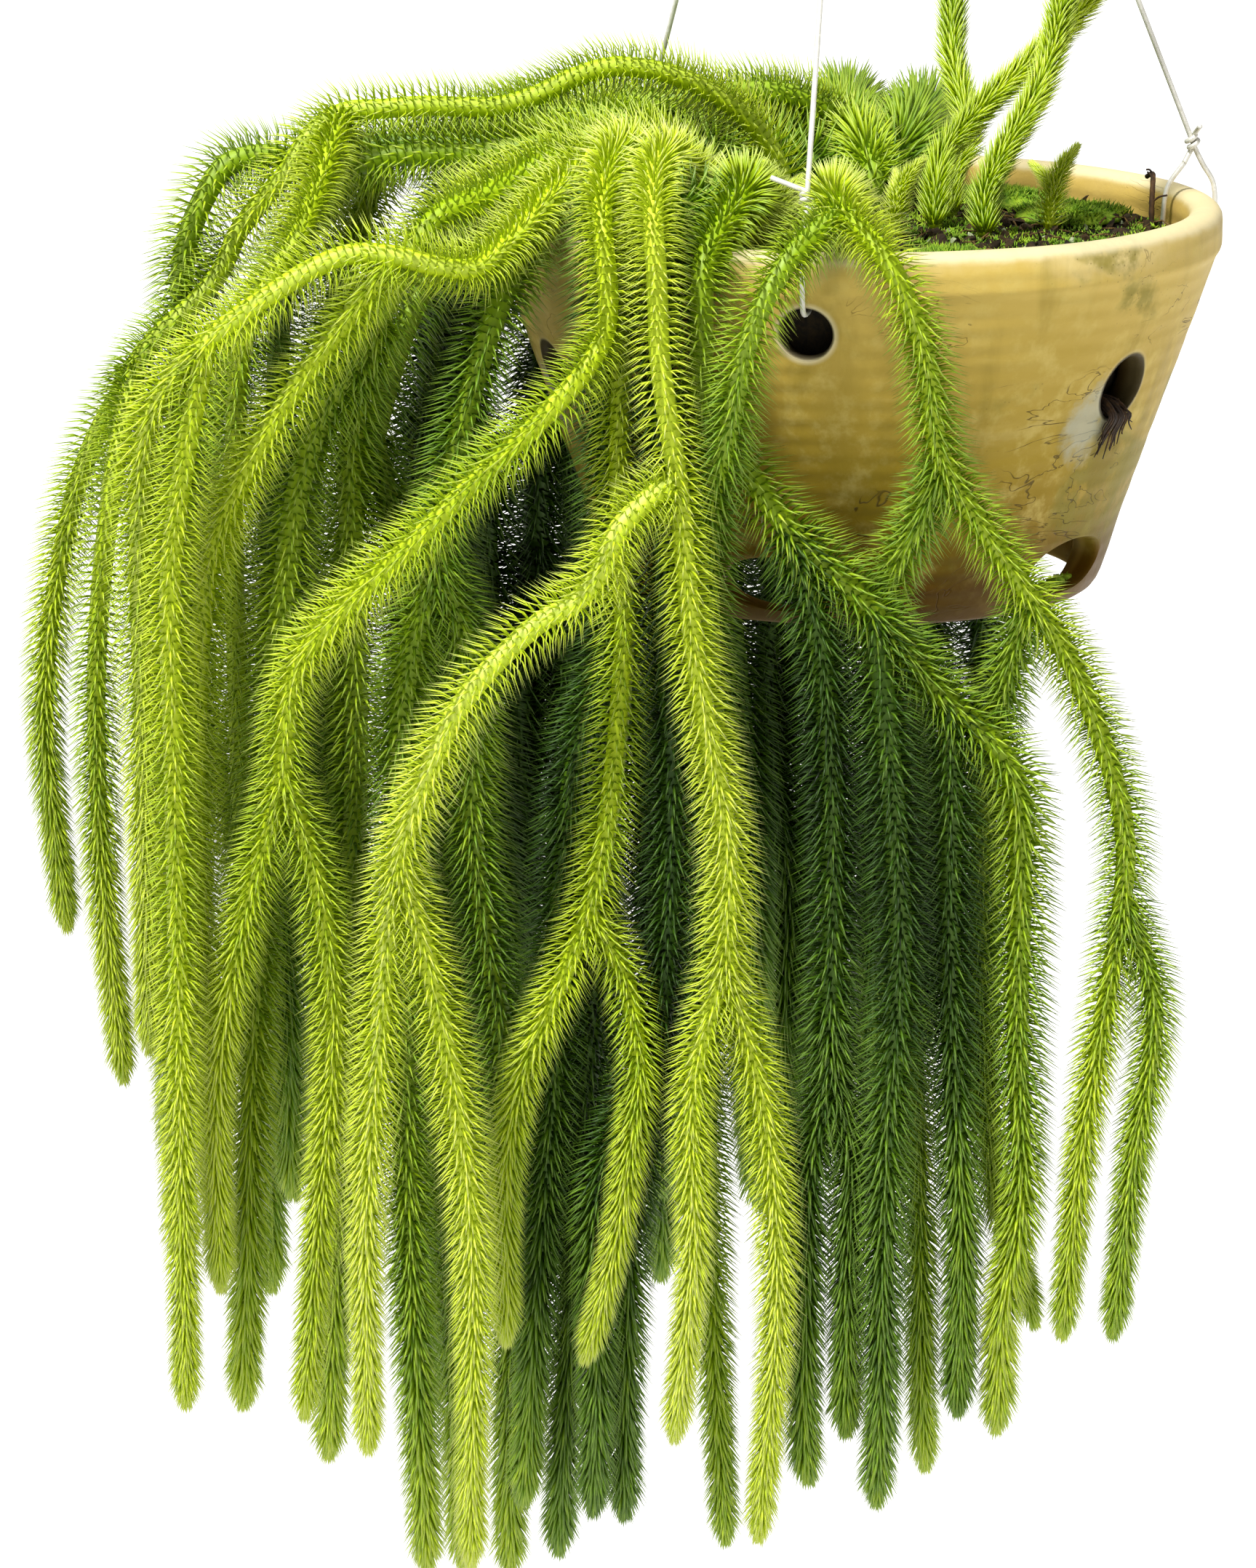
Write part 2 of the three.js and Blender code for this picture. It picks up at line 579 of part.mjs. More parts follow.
// Moves the strands apart until none is nearer to another, to the pot or to a wire than it may be.
function settle(strands, obstacles) {
  const all = strands.flatMap((strand) => strand.points.map((point, i) => ({ strand, point, i })));
  const free = ({ strand, i }) => strand.parent && i * GROWTH.step < GROWTH.stiffStart;
  const pairs = [];
  all.forEach((a, first) => {
    for (const b of all.slice(first + 1)) {
      const joined = a.strand.shoot === b.strand.shoot && (free(a) || free(b));
      if (a.strand !== b.strand && !joined) pairs.push([a, b]);
    }
  });
  const offset = new THREE.Vector3();
  for (let round = 0; round < GROWTH.rounds; round++) {
    all.forEach((item) => (item.push = pushOffPot(item.point)));
    for (const [a, b] of pairs) {
      offset.subVectors(a.point, b.point);
      const distance = offset.length();
      if (distance < shootSpacing) {
        offset.multiplyScalar((shootSpacing - distance) / (2 * distance));
        a.push.add(offset);
        b.push.sub(offset);
      }
    }
    for (const item of all) {
      for (const obstacle of obstacles) {
        offset.subVectors(item.point, obstacle);
        const distance = offset.length();
        if (distance < wireSpacing) {
          item.push.addScaledVector(offset, wireSpacing / distance - 1);
        }
      }
    }
    for (const strand of strands) strand.pushes = [];
    all.forEach(({ strand, push }) => strand.pushes.push(push));
    strands.forEach(moveStrand);
  }
}

// Applies a strand's pushes, smoothed along it, easing in from its held end; a fork moves with its parent.
function moveStrand(strand) {
  const { points, pushes, parent } = strand;
  const carried = parent ? parent.strand.moves[parent.from] : new THREE.Vector3();
  const held = parent ? 0 : SHOOT.rootRise;
  const last = points.length - 1;
  strand.moves = pushes.map((push, i) => {
    const before = pushes[Math.max(i - 1, 0)];
    const after = pushes[Math.min(i + 1, last)];
    const smooth = before.clone().add(after).addScaledVector(push, 2).multiplyScalar(0.25);
    const ease = THREE.MathUtils.clamp((i * GROWTH.step - held) / GROWTH.stiffStart, 0, 1);
    return smooth.multiplyScalar(ease).add(carried);
  });
  points.forEach((point, i) => point.add(strand.moves[i]));
}

function buildShoots() {
  const strands = plantStrands();
  settle(strands, wireObstacles());
  const names = [...new Set(strands.map(({ shoot }) => shoot))];
  return names.map((name) => {
    const own = strands.filter(({ shoot }) => shoot === name);
    const tubes = own.map(({ points, parent }) =>
      tube(thinned(points), parent ? SHOOT.branchRadius : SHOOT.radius, SHOOT.sides));
    return node(name, union(tubes), 'leaf');
  });
}

// Assembly -----------------------------------------------------------------------------------

const MOSS = [
  { name: 'moss_left', at: [-22, 72], radius: 15, height: 5 },
  { name: 'moss_middle', at: [46, 60], radius: 15, height: 5 },
  { name: 'moss_right', at: [66, 26], radius: 17, height: 5 },
  { name: 'moss_front', at: [24, -62], radius: 14, height: 4 },
];
const SPROUTS = [
  { name: 'sprout_left', at: [-24, -24], lean: -30 },
  { name: 'sprout_middle', at: [10, -20], lean: 60 },
  { name: 'sprout_right', at: [58, 0], lean: 120 },
];

const object = new THREE.Group();
object.position.z = -rimDrop;
object.add(
  node('pot', buildPot(), 'pot'),
  node('soil', buildSoil(), 'soil'),
  node('hook', buildHook(), 'wire'),
  ...WIRES.map(({ name, path }) => node(name, tube(path, WIRE.radius, 6), 'wire')),
  node('root_tuft', buildRootTuft(), 'root'),
  node('twig', buildTwig(), 'root'),
  ...MOSS.map((patch) => node(patch.name, buildMoss(patch), 'moss')),
  ...SPROUTS.map((sprout) => node(sprout.name, buildSprout(sprout), 'leaf')),
  ...buildShoots(),
);

export default object;
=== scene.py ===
import json
import math

import bmesh
import bpy
import numpy as np
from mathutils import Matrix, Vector, noise

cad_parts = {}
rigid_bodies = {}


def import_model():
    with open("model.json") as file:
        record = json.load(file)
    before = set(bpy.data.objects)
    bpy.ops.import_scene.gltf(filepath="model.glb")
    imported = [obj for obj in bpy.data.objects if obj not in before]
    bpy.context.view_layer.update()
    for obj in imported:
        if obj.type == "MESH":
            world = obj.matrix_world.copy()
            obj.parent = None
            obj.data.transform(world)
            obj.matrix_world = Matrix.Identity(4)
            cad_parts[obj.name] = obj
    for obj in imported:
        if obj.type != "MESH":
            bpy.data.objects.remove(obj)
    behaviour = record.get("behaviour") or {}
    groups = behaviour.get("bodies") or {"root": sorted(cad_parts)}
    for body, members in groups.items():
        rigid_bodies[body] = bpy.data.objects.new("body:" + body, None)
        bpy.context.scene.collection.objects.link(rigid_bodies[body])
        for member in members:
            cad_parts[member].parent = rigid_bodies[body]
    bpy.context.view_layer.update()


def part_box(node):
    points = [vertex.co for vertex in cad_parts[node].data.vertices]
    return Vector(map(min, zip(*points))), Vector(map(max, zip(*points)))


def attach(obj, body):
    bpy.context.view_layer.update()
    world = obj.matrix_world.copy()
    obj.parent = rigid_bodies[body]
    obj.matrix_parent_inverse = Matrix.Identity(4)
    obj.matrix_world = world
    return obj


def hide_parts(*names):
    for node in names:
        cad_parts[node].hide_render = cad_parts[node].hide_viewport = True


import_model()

RANDOM = np.random.default_rng(7)
MM = 0.001

RIM_RADIUS, WALL, POT_HEIGHT = 110.0, 9.0, 115.0
COLLAR_HEIGHT, COLLAR_STEP = 12.0, 1.7
HEEL_RADIUS, HEEL_HEIGHT, FOOT_RADIUS, FOOT_WALL = 81.0, 22.0, 73.0, 6.0
BASE_UNDER = -POT_HEIGHT + 23.0
BASE_TOP = BASE_UNDER + 8.0
DRAIN_RADIUS = 10.0
SOIL_TOP = -9.0
HANG_AZIMUTHS, HANG_RADIUS, HANG_DEPTH = (-10.0, 101.0, 217.0), 7.5, 23.0
VENT_AZIMUTHS, VENT_RADIUS, VENT_DEPTH = (52.0, 172.0, 292.0), 9.3, 46.0
ARCH_COUNT, ARCH_FIRST, ARCH_WIDTH, ARCH_HEIGHT, ARCH_LIP = 5, 53.5, 36.0, 16.0, 5.0
WIRE_RADIUS, TWIST_HEIGHT, TAIL = 0.8, 13.5, 11.0
HOOK_RADIUS, UPPER_BEND, LOWER_BEND, EYE_SPREAD = 1.75, 14.0, 8.0, 28.0
HOOK_LOWER = 256.0 + LOWER_BEND
HOOK_UPPER = HOOK_LOWER + 30.0
RIM = (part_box("soil")[1].z / MM - SOIL_TOP) * MM  # height of the rim plane in the frame

SHOOT_RADIUS, STEP, ROOT_RISE, STIFF_START, ROUNDS = 3.6, 12.0, 14.0, 40.0, 90
PAIR_REACH = 60.0  # points farther apart than this never push each other
PLAN_RADIUS = 110.0  # rim radius for which the plan was drawn
GROUND = SOIL_TOP + 0.3
LIP_TOP = 0.6  # the lip of the turned pot
GRAIN_PLANE = SOIL_TOP - 0.9  # middle height of the soil's lumps
SHOOT_SPACING = 2 * SHOOT_RADIUS + 5.8
POT_SPACING = SHOOT_RADIUS + 3.4
WIRE_SPACING = SHOOT_RADIUS + WIRE_RADIUS + 4.6

# Shoots: name, root, line, forks of [point of the parent's line, line, forks of its own].
PLAN = [
    ["shoot_front", [-46, -54],
      [[-58, -80, 24], [-60, -110, 4], [-60, -125, -25], [-55, -130, -60], [-50, -130, -110],
        [-40, -125, -170], [-40, -120, -205], [-30, -120, -245], [-25, -120, -300], [-30, -120, -380]],
      [[3, [[-70, -140, -70], [-80, -140, -90], [-95, -140, -100], [-115, -145, -120], [-125, -145, -140],
        [-135, -140, -170], [-140, -140, -215], [-145, -140, -280], [-145, -140, -345]],
      [[5, [[-125, -140, -205], [-115, -140, -270], [-115, -140, -380]], []]]],
      [6, [[-50, -125, -240], [-50, -130, -290], [-55, -130, -345]], []]]],
    ["shoot_left_front", [-62, -42],
      [[-71, -66, 24], [-76, -98, 14], [-75, -115, -20], [-90, -125, -40], [-110, -120, -60],
        [-130, -120, -80], [-150, -115, -100], [-165, -110, -120], [-170, -110, -155], [-180, -110, -190],
        [-190, -105, -245], [-190, -105, -305]],
      [[8, [[-160, -110, -180], [-155, -110, -225], [-160, -110, -285], [-165, -110, -345]], []]]],
    ["shoot_centre", [-58, -72],
      [[-66, -88, 10], [-70, -100, -15], [-70, -105, -60], [-70, -105, -110], [-75, -110, -165],
        [-80, -110, -190], [-90, -115, -215], [-100, -115, -240], [-105, -115, -275], [-105, -115, -320]],
      [[5, [[-70, -110, -210], [-65, -115, -235], [-70, -115, -265], [-75, -115, -295],
        [-80, -115, -325]], []]]],
    ["shoot_right_arch", [-6, -66],
      [[-10, -105, 15], [5, -125, 0], [15, -125, -25], [20, -120, -55], [45, -115, -95], [60, -110, -120],
        [75, -110, -165], [75, -110, -190], [70, -110, -225], [65, -110, -260], [60, -110, -320]],
      [[7, [[85, -110, -220], [80, -110, -265], [75, -110, -320]], []],
        [3, [[15, -110, -75], [5, -100, -100], [10, -100, -140], [15, -100, -230], [20, -100, -365]], []],
        [4, [[40, -105, -125], [35, -100, -175], [35, -100, -230], [40, -100, -275], [50, -100, -320]], []],
        [0, [[-25, -125, 0], [-35, -130, -20], [-40, -125, -45], [-45, -110, -80], [-45, -105, -130],
          [-45, -105, -200], [-45, -110, -290], [-40, -110, -385]], []]]],
    ["shoot_diagonal", [-30, -52],
      [[-44, -84, 10], [-48, -110, -18], [-45, -115, -50], [-25, -115, -75], [0, -115, -100],
        [20, -110, -125], [40, -110, -145], [45, -105, -180], [45, -105, -230], [45, -105, -290],
        [40, -105, -350]],
      [[3, [[-15, -115, -105], [-10, -110, -155], [-10, -110, -225], [-15, -110, -300], [-15, -110, -365]],
        [[2, [[-5, -110, -270], [-5, -110, -350]], []]]],
      [4, [[5, -120, -130], [10, -120, -200], [5, -115, -285], [5, -115, -370]], []],
      [5, [[25, -110, -155], [25, -110, -200], [30, -105, -275], [30, -105, -345]], []]]],
    ["shoot_horizontal", [-46, -30],
      [[-62, -44, 20], [-87, -64, 14], [-102, -86, 2], [-115, -100, -5], [-135, -105, 0], [-150, -105, 0],
        [-170, -110, -10], [-190, -110, -25], [-205, -105, -45], [-210, -100, -80], [-210, -100, -135],
        [-210, -100, -235]],
      [[4, [[-150, -100, -20], [-165, -100, -40], [-180, -100, -65], [-190, -95, -90], [-195, -95, -140],
        [-195, -95, -205], [-190, -95, -310]], []],
      [7, [[-195, -115, -55], [-200, -115, -90], [-200, -115, -150], [-200, -115, -245],
        [-200, -115, -340]], []]]],
    ["shoot_second_row", [-52, -8],
      [[-75, -35, 10], [-100, -55, 10], [-125, -70, 5], [-140, -80, -20], [-160, -80, -55],
        [-170, -85, -105], [-175, -85, -160], [-180, -85, -230], [-185, -85, -350]],
      [[3, [[-150, -70, -60], [-150, -70, -105], [-150, -70, -165], [-155, -75, -260],
        [-160, -75, -370]], []]]],
    ["shoot_ridge", [-22, 14],
      [[-30, 15, 20], [-50, 10, 35], [-75, 5, 40], [-105, -5, 30], [-135, -10, 30], [-155, -10, 25],
        [-180, -15, 5], [-195, -20, -20], [-215, -25, -45], [-230, -30, -70], [-240, -30, -105],
        [-245, -35, -150], [-240, -35, -215]],
      [[8, [[-220, -50, -75], [-225, -60, -125], [-225, -60, -190], [-220, -60, -255]], []],
        [5, [[-165, -45, -5], [-180, -60, -30], [-185, -60, -75], [-185, -60, -140], [-185, -60, -215],
          [-195, -60, -290]], []]]],
    ["shoot_back_ridge", [-48, 26],
      [[-90, 45, 20], [-120, 45, 15], [-150, 40, 5], [-175, 35, -25], [-195, 30, -60], [-200, 25, -110],
        [-205, 20, -185], [-210, 20, -275]],
      [[2, [[-160, 50, -40], [-170, 50, -115], [-170, 50, -220], [-170, 50, -325]], []]]],
    ["shoot_back_arch", [6, 34],
      [[5, 60, 10], [-20, 55, 25], [-50, 50, 25], [-85, 60, 15], [-110, 80, -10], [-120, 85, -60],
        [-125, 85, -150], [-130, 85, -255], [-130, 85, -360]],
      []],
    ["shoot_left_mid", [-72, -24],
      [[-90, -50, 5], [-105, -85, -15], [-115, -90, -45], [-125, -90, -90], [-135, -90, -135],
        [-135, -90, -195], [-135, -90, -265], [-130, -90, -400]],
      [[3, [[-115, -85, -125], [-115, -80, -175], [-105, -80, -255], [-105, -80, -405]], []]]],
    ["shoot_left_side", [-74, 2],
      [[-105, -15, 5], [-130, -45, -20], [-145, -55, -65], [-155, -60, -110], [-155, -60, -165],
        [-155, -60, -240], [-155, -60, -290], [-160, -60, -345]],
      [[2, [[-135, -50, -110], [-130, -50, -170], [-125, -50, -265], [-120, -50, -415]], []]]],
    ["shoot_under_left", [-63, -56],
      [[-72, -78, 8], [-75, -95, -25], [-75, -90, -70], [-75, -95, -115], [-85, -95, -155],
        [-90, -100, -230], [-95, -100, -300], [-100, -100, -375]],
      [[4, [[-80, -95, -205], [-85, -90, -305], [-90, -90, -395]], []]]],
    ["shoot_under_middle", [-44, -74],
      [[-54, -92, 12], [-60, -105, -15], [-60, -105, -85], [-55, -105, -155], [-60, -105, -225],
        [-70, -100, -290], [-70, -100, -380]],
      [[4, [[-75, -110, -280], [-80, -110, -375]], []]]],
    ["upright_leaning", [24, 6],
      [[25, 10, 10], [40, 5, 30], [55, 0, 45], [70, -5, 65], [80, -5, 90], [85, -5, 110]], []],
    ["upright_right", [38, -12],
      [[40, -12, 10], [45, -15, 20], [55, -15, 40], [60, -20, 65], [65, -20, 90], [70, -20, 110]], []],
    ["upright_straight", [30, 30], [[35, 30, 15], [30, 35, 40], [30, 35, 60], [25, 40, 85]], []],
]

# Azimuth, root radius, reach past the rim and length of each shoot over the back rim.
BACK_SHOOTS = [
    [166, 52, 24, 350],
    [180, 64, 32, 395],
    [194, 50, 24, 370],
    [208, 46, 34, 410],
    [222, 60, 26, 390],
    [236, 72, 34, 405],
    [250, 64, 24, 370],
    [262, 72, 64, 345],
    [274, 60, 92, 320],
]

# Curves and meshes ----------------------------------------------------------------------------


def outward(azimuth):
    turn = math.radians(azimuth)
    return np.array([math.sin(turn), -math.cos(turn), 0.0])


def polar(azimuth, radius, height):
    return outward(azimuth) * radius + np.array([0.0, 0.0, height])


def unit(vectors):
    return vectors / np.maximum(np.linalg.norm(vectors, axis=-1, keepdims=True), 1e-9)


def curve_points(knots, shares):
    """Points of the centripetal Catmull-Rom curve through the knots at shares of its parameter."""
    knots = np.asarray(knots, float)
    padded = np.vstack([2 * knots[0] - knots[1], knots, 2 * knots[-1] - knots[-2]])
    place = np.clip(np.asarray(shares, float), 0, 1) * (len(knots) - 1)
    index = np.minimum(place.astype(int), len(knots) - 2)
    weight = (place - index)[:, None]
    p0, p1, p2, p3 = (padded[index + k] for k in range(4))
    gaps = [np.sqrt(np.linalg.norm(b - a, axis=1))[:, None] for a, b in ((p0, p1), (p1, p2), (p2, p3))]
    d0, d1, d2 = (np.where(gap < 1e-4, gaps[1], gap) for gap in gaps)
    t1 = ((p1 - p0) / d0 - (p2 - p0) / (d0 + d1) + (p2 - p1) / d1) * d1
    t2 = ((p2 - p1) / d1 - (p3 - p1) / (d1 + d2) + (p3 - p2) / d2) * d1
    return (
        p1
        + t1 * weight
        + (3 * (p2 - p1) - 2 * t1 - t2) * weight**2
        + (2 * (p1 - p2) + t1 + t2) * weight**3
    )


def spaced(knots, step):
    """Evenly spaced points, about a step apart, on the curve through the knots."""
    shares = np.linspace(0, 1, 201 if len(knots) < 60 else 1201)
    rough = curve_points(knots, shares)
    lengths = np.concatenate([[0], np.cumsum(np.linalg.norm(np.diff(rough, axis=0), axis=1))])
    count = max(2, round(lengths[-1] / step))
    return curve_points(knots, np.interp(np.linspace(0, lengths[-1], count + 1), lengths, shares))


def frames(points):
    """Tangents and two unit normals along a line, without twist."""
    tangents = unit(np.gradient(points, axis=0))
    normals = np.zeros_like(points)
    normal = np.cross(tangents[0], [0.31, 0.87, 0.38])
    for i, tangent in enumerate(tangents):
        normal = unit(normal - tangent * (normal @ tangent))
        normals[i] = normal
    return tangents, normals, np.cross(tangents, normals)


def ring_turns(sides):
    return np.linspace(0, 2 * np.pi, sides, endpoint=False)


def tube(points, radii, sides=8):
    """A closed tube: its points and triangles."""
    points = np.asarray(points, float)
    radii = np.broadcast_to(radii, len(points))
    _, normals, binormals = frames(points)
    turns = ring_turns(sides)
    across, up = np.cos(turns)[None, :, None], np.sin(turns)[None, :, None]
    ring = across * normals[:, None] + up * binormals[:, None]
    rings = points[:, None] + ring * radii[:, None, None]
    return rings.reshape(-1, 3), closed_rings(len(points), sides)


def ring_skin(steps, rows, sides):
    """Triangles between the first steps of rows of points and the rows after them, each row a ring. After
    the last row comes the first."""
    i, j = np.meshgrid(np.arange(steps), np.arange(sides), indexing="ij")
    a, b = i * sides + j, i * sides + (j + 1) % sides
    c, d = (i + 1) % rows * sides + (j + 1) % sides, (i + 1) % rows * sides + j
    return np.concatenate([np.stack([a, b, c], -1), np.stack([a, c, d], -1)]).reshape(-1, 3)


def closed_rings(rows, sides):
    """Triangles of a closed skin over rows of points, each row a ring, with fans at both ends."""
    skin = ring_skin(rows - 1, rows, sides)
    fan = np.stack([np.zeros(sides - 2, int), np.arange(2, sides), np.arange(1, sides - 1)], -1)
    return np.concatenate([skin, fan, fan[:, ::-1] + (rows - 1) * sides])


def joined(parts):
    """One list of points and triangles out of several."""
    points, faces, start = [], [], 0
    for part_points, part_faces in parts:
        points.append(part_points)
        faces.append(np.asarray(part_faces) + start)
        start += len(part_points)
    return np.concatenate(points), np.concatenate(faces)


def circle(radius, height, sides):
    """Points of a level ring round the pot's axis."""
    turns = ring_turns(sides)
    return [(radius * math.sin(t), -radius * math.cos(t), height) for t in turns]


def mesh_piece(name, points, faces, material, slot, nodes=(), uv=None, smooth=True):
    """A piece that rides on the object and stands for CAD nodes."""
    faces = np.asarray(faces, np.int32)
    mesh = bpy.data.meshes.new(name)
    mesh.vertices.add(len(points))
    placed = np.asarray(points) * MM + np.array([0, 0, RIM])
    mesh.vertices.foreach_set("co", placed.astype(np.float32).ravel())
    mesh.loops.add(faces.size)
    mesh.loops.foreach_set("vertex_index", faces.ravel())
    mesh.polygons.add(len(faces))
    mesh.polygons.foreach_set("loop_start", np.arange(0, faces.size, 3, dtype=np.int32))
    mesh.polygons.foreach_set("use_smooth", np.full(len(faces), smooth))
    if uv is not None:
        layer = mesh.uv_layers.new(name="OFBake")
        layer.uv.foreach_set("vector", uv[faces.ravel()].astype(np.float32).ravel())
    mesh.update(calc_edges=True)
    mesh.validate()
    mesh.materials.append(material)
    obj = bpy.data.objects.new(name, mesh)
    bpy.context.scene.collection.objects.link(obj)
    return belongs(obj, nodes)


def belongs(obj, nodes):
    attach(obj, "root")
    if nodes:
        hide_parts(*nodes)
    return obj


# Materials ------------------------------------------------------------------------------------


def rgb(code):
    """Linear colour of a hexadecimal sRGB one."""
    parts = [int(code[i : i + 2], 16) / 255 for i in (0, 2, 4)]
    return [*(c / 12.92 if c <= 0.04045 else ((c + 0.055) / 1.055) ** 2.4 for c in parts), 1.0]


def operation(kind):
    return lambda value, other=0.0: value.math(kind, other)


class Value:
    """What a node of a shader puts out. What is done to it adds nodes to the shader."""

    def __init__(self, shader, socket):
        self.shader = shader
        self.socket = socket

    def math(self, kind, other=0.0):
        return self.shader.node("ShaderNodeMath", {0: self, 1: other}, operation=kind)

    __add__, __sub__, __mul__ = operation("ADD"), operation("SUBTRACT"), operation("MULTIPLY")
    __truediv__, __pow__, __abs__ = operation("DIVIDE"), operation("POWER"), operation("ABSOLUTE")

    def step(self, low, high):
        """0 below low, 1 above high, smooth between; low above high turns it round."""
        inputs = {"Value": self, "From Min": low, "From Max": high}
        return self.shader.node("ShaderNodeMapRange", inputs, interpolation_type="SMOOTHSTEP")

    def tint(self, mask, amount, code):
        """This colour under an amount of another one, where the mask is above 0."""
        return self.shader.mix(mask * amount, self, rgb(code))


class Shader:
    """A material under construction. Each method adds nodes and returns what the last one puts out."""

    def __init__(self, name):
        self.material = bpy.data.materials.new(name)
        self.material.use_nodes = True
        self.tree = self.material.node_tree
        self.principled = self.tree.nodes["Principled BSDF"]

    def node(self, kind, inputs, output=0, **settings):
        made = self.tree.nodes.new(kind)
        for key, value in settings.items():
            setattr(made, key, value)
        for key, value in inputs.items():
            self.feed(made.inputs[key], value)
        return Value(self, made.outputs[output])

    def feed(self, socket, value):
        if isinstance(value, Value):
            self.tree.links.new(value.socket, socket)
        else:
            socket.default_value = value

    def mix(self, share, a, b):
        return self.node("ShaderNodeMix", {0: share, 6: a, 7: b}, output=2, data_type="RGBA")

    def place(self, scale=(1, 1, 1)):
        """The piece's own coordinates, in metres, stretched by a scale."""
        where = self.node("ShaderNodeTexCoord", {}, output=3)
        return self.node("ShaderNodeMapping", {"Vector": where, "Scale": scale})

    def noise(self, scale, vector=None, detail=4.0, roughness=0.55, distortion=0.0):
        inputs = {"Scale": scale, "Detail": detail, "Roughness": roughness, "Distortion": distortion}
        inputs["Vector"] = vector or self.place()
        return self.node("ShaderNodeTexNoise", inputs)

    def cells(self, scale, output=0):
        return self.node("ShaderNodeTexVoronoi", {"Scale": scale, "Vector": self.place()}, output=output)

    def colours(self, value, stops):
        ramp = self.tree.nodes.new("ShaderNodeValToRGB")
        self.feed(ramp.inputs[0], value)
        elements = ramp.color_ramp.elements
        while len(elements) < len(stops):
            elements.new(0.5)
        for element, (position, code) in zip(elements, stops):
            element.position = position
            element.color = rgb(code)
        return Value(self, ramp.outputs[0])

    def surface(self, colour, roughness, bump=None, depth=0.001, strength=1.0, **constants):
        self.feed(self.principled.inputs["Base Color"], colour)
        self.feed(self.principled.inputs["Roughness"], roughness)
        for key, value in constants.items():
            self.principled.inputs[key.replace("_", " ")].default_value = value
        if bump is not None:
            inputs = {"Height": bump, "Distance": depth, "Strength": strength}
            self.feed(self.principled.inputs["Normal"], self.node("ShaderNodeBump", inputs))
        return self.material


TONES = 24  # colour steps of the leaves, side by side across their map


def leaf_material():
    """Colour comes from the leaf map: a column for each tone, its width the leaf's, its height the way
    from leaf base to tip. A stem takes the foot of a column a little brighter than its leaves'."""
    shader = Shader("clubmoss_leaf")
    where = shader.node("ShaderNodeUVMap", {}, uv_map="OFBake")
    u, v = (shader.node("ShaderNodeSeparateXYZ", {0: where}, output=k) for k in range(2))
    columns = u * TONES
    tone = columns.math("FLOOR") / (TONES - 1)
    across = abs(columns.math("FRACT") - 0.5)
    body = shader.colours(
        tone,
        [(0.0, "0C1A00"), (0.2, "335802"), (0.42, "6B9408"), (0.62, "A0BE08"), (0.8, "CADF10"),
         (1.0, "DDEE3C")],
    )
    tip = shader.colours(
        tone,
        [(0.0, "162A04"), (0.15, "3E5E16"), (0.35, "8FAC50"), (0.5, "A9C450"), (0.75, "DAE776"),
         (0.95, "EEF5A0")],
    )
    colour = shader.mix(v.step(0.5, 0.95), body, tip)
    midrib = across.step(0.12, 0.02)
    colour = shader.mix(midrib * 0.35, colour, tip)
    grain = shader.noise(60.0, where, detail=2.0)
    colour = shader.mix(grain * 0.25, colour, body)
    return shader.surface(colour, v * -0.12 + 0.55, Specular_IOR_Level=0.45)


